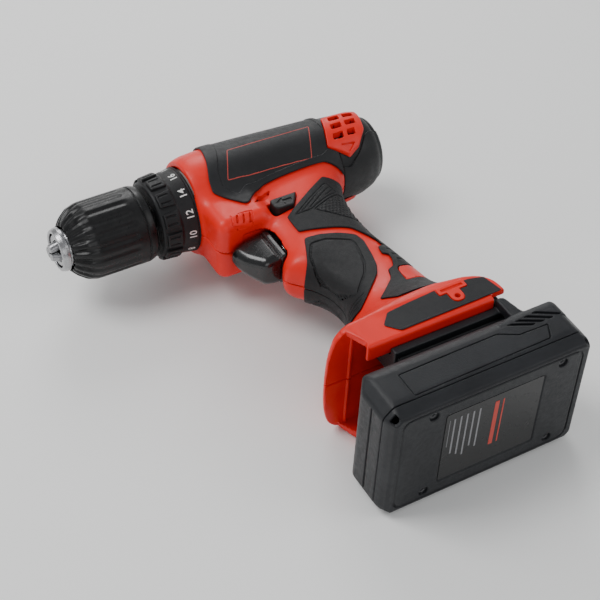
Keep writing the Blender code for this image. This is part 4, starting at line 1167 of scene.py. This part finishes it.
def build_pack():
    solid("pack_upper_shell", pack_upper, (-35, -203, -37), (83, -152, 37), 0.95, PACK, "battery_pack",
          [((-18, -204, low), (79.4, -179, low + 12), 0.45) for low in (30, -42)])
    solid("pack_lower_shell", pack_lower, (-35, -211, -37), (83, -202, 37), 0.7, PACK, "battery_pack")
    solid("latch_button", latch, (70, -185, -16.5), (82, -170, 16.5), 0.36, BLACK, "latch_button")
    solid("base_label", base_label, (-3, -210, -24), (54, -209, 24), 0.3, LABEL, "battery_pack")
    solid("base_print", partial(ink, bars=GREY_BARS), (-1, -210, -11), (22, -209.4, 20), 0.2, GREY_INK,
          "battery_pack")
    solid("base_print_red", partial(ink, bars=RED_BARS), (25, -210, -15), (52, -209.4, 20), 0.2,
          PRINT_RED, "battery_pack")
    for number, (x, z) in enumerate(PACK_SCREWS):
        bolt(f"pack_screw_{number + 1}", (x, -208.9, z), (0, -1, 0), screw_profile(2.3, 1.1, 6, 0.2),
             "battery_pack")


def carry():
    """The CAD nodes that stay: softened edges and their own finish."""
    for name, look in CARRIED.items():
        thing = NODES[name]
        thing.data.materials.clear()
        thing.data.materials.append(look)
        bevel = thing.modifiers.new("edges", "BEVEL")
        bevel.width = 0.00016
        bevel.segments = 2
        bevel.limit_method = "ANGLE"
        bevel.angle_limit = math.radians(40)


# ---------------------------------------------------------------- the studio

CENTRE = Vector((0, 0, 0.036))
CAMERA = Vector((-0.3020, -0.4793, 0.5885))
ROLL = math.radians(3.4)


def studio():
    mesh = bpy.data.meshes.new("floor")
    wide, bend, tall, steps = 3.2, 0.5, 2.2, 14
    line = [(-wide, 0.0)]
    for i in range(steps + 1):
        angle = math.pi / 2 * i / steps
        line.append((1.6 + bend * math.sin(angle), bend * (1 - math.cos(angle))))
    line.append((1.6 + bend, tall))
    points = [(s * wide, y, z) for s in (-1, 1) for y, z in line]
    count = len(line)
    mesh.from_pydata(points, [], [(i, i + count, i + count + 1, i + 1) for i in range(count - 1)])
    mesh.shade_smooth()
    look, nodes, _ = node_tree("pale_floor")
    nodes["Principled BSDF"].inputs["Base Color"].default_value = (0.93, 0.93, 0.92, 1)
    nodes["Principled BSDF"].inputs["Roughness"].default_value = 0.62
    mesh.materials.append(look)
    floor = bpy.data.objects.new("floor", mesh)
    floor.rotation_euler = (0, 0, math.radians(-32))
    bpy.context.scene.collection.objects.link(floor)
    for name, place, size, power in (
            ("key_light", (-0.9, 0.6, 1.5), 0.9, 21),
            ("fill_light", (1.2, -0.9, 1.1), 1.0, 6),
            ("front_light", (-0.7, -1.4, 0.8), 0.8, 4),
            ("back_light", (0.5, 1.3, 0.9), 0.7, 8)):
        lamp = bpy.data.lights.new(name, "AREA")
        lamp.size = size
        lamp.energy = power
        holder = bpy.data.objects.new(name, lamp)
        holder.location = place
        holder.rotation_euler = (CENTRE - Vector(place)).to_track_quat("-Z", "Y").to_euler()
        bpy.context.scene.collection.objects.link(holder)
    world = bpy.data.worlds.new("studio")
    world.use_nodes = True
    world.node_tree.nodes["Background"].inputs["Color"].default_value = (0.86, 0.88, 0.9, 1)
    world.node_tree.nodes["Background"].inputs["Strength"].default_value = 0.44
    bpy.context.scene.world = world
    camera = bpy.data.cameras.new("camera")
    camera.lens = 92
    camera.sensor_width = 36
    holder = bpy.data.objects.new("camera", camera)
    holder.location = CAMERA
    turn = (CENTRE - CAMERA).to_track_quat("-Z", "Y").to_matrix()
    holder.rotation_euler = (turn @ Matrix.Rotation(ROLL, 3, "Z")).to_euler()
    bpy.context.scene.collection.objects.link(holder)
    bpy.context.scene.camera = holder


build_shell()
build_chuck()
build_controls()
build_pack()
carry()
studio()
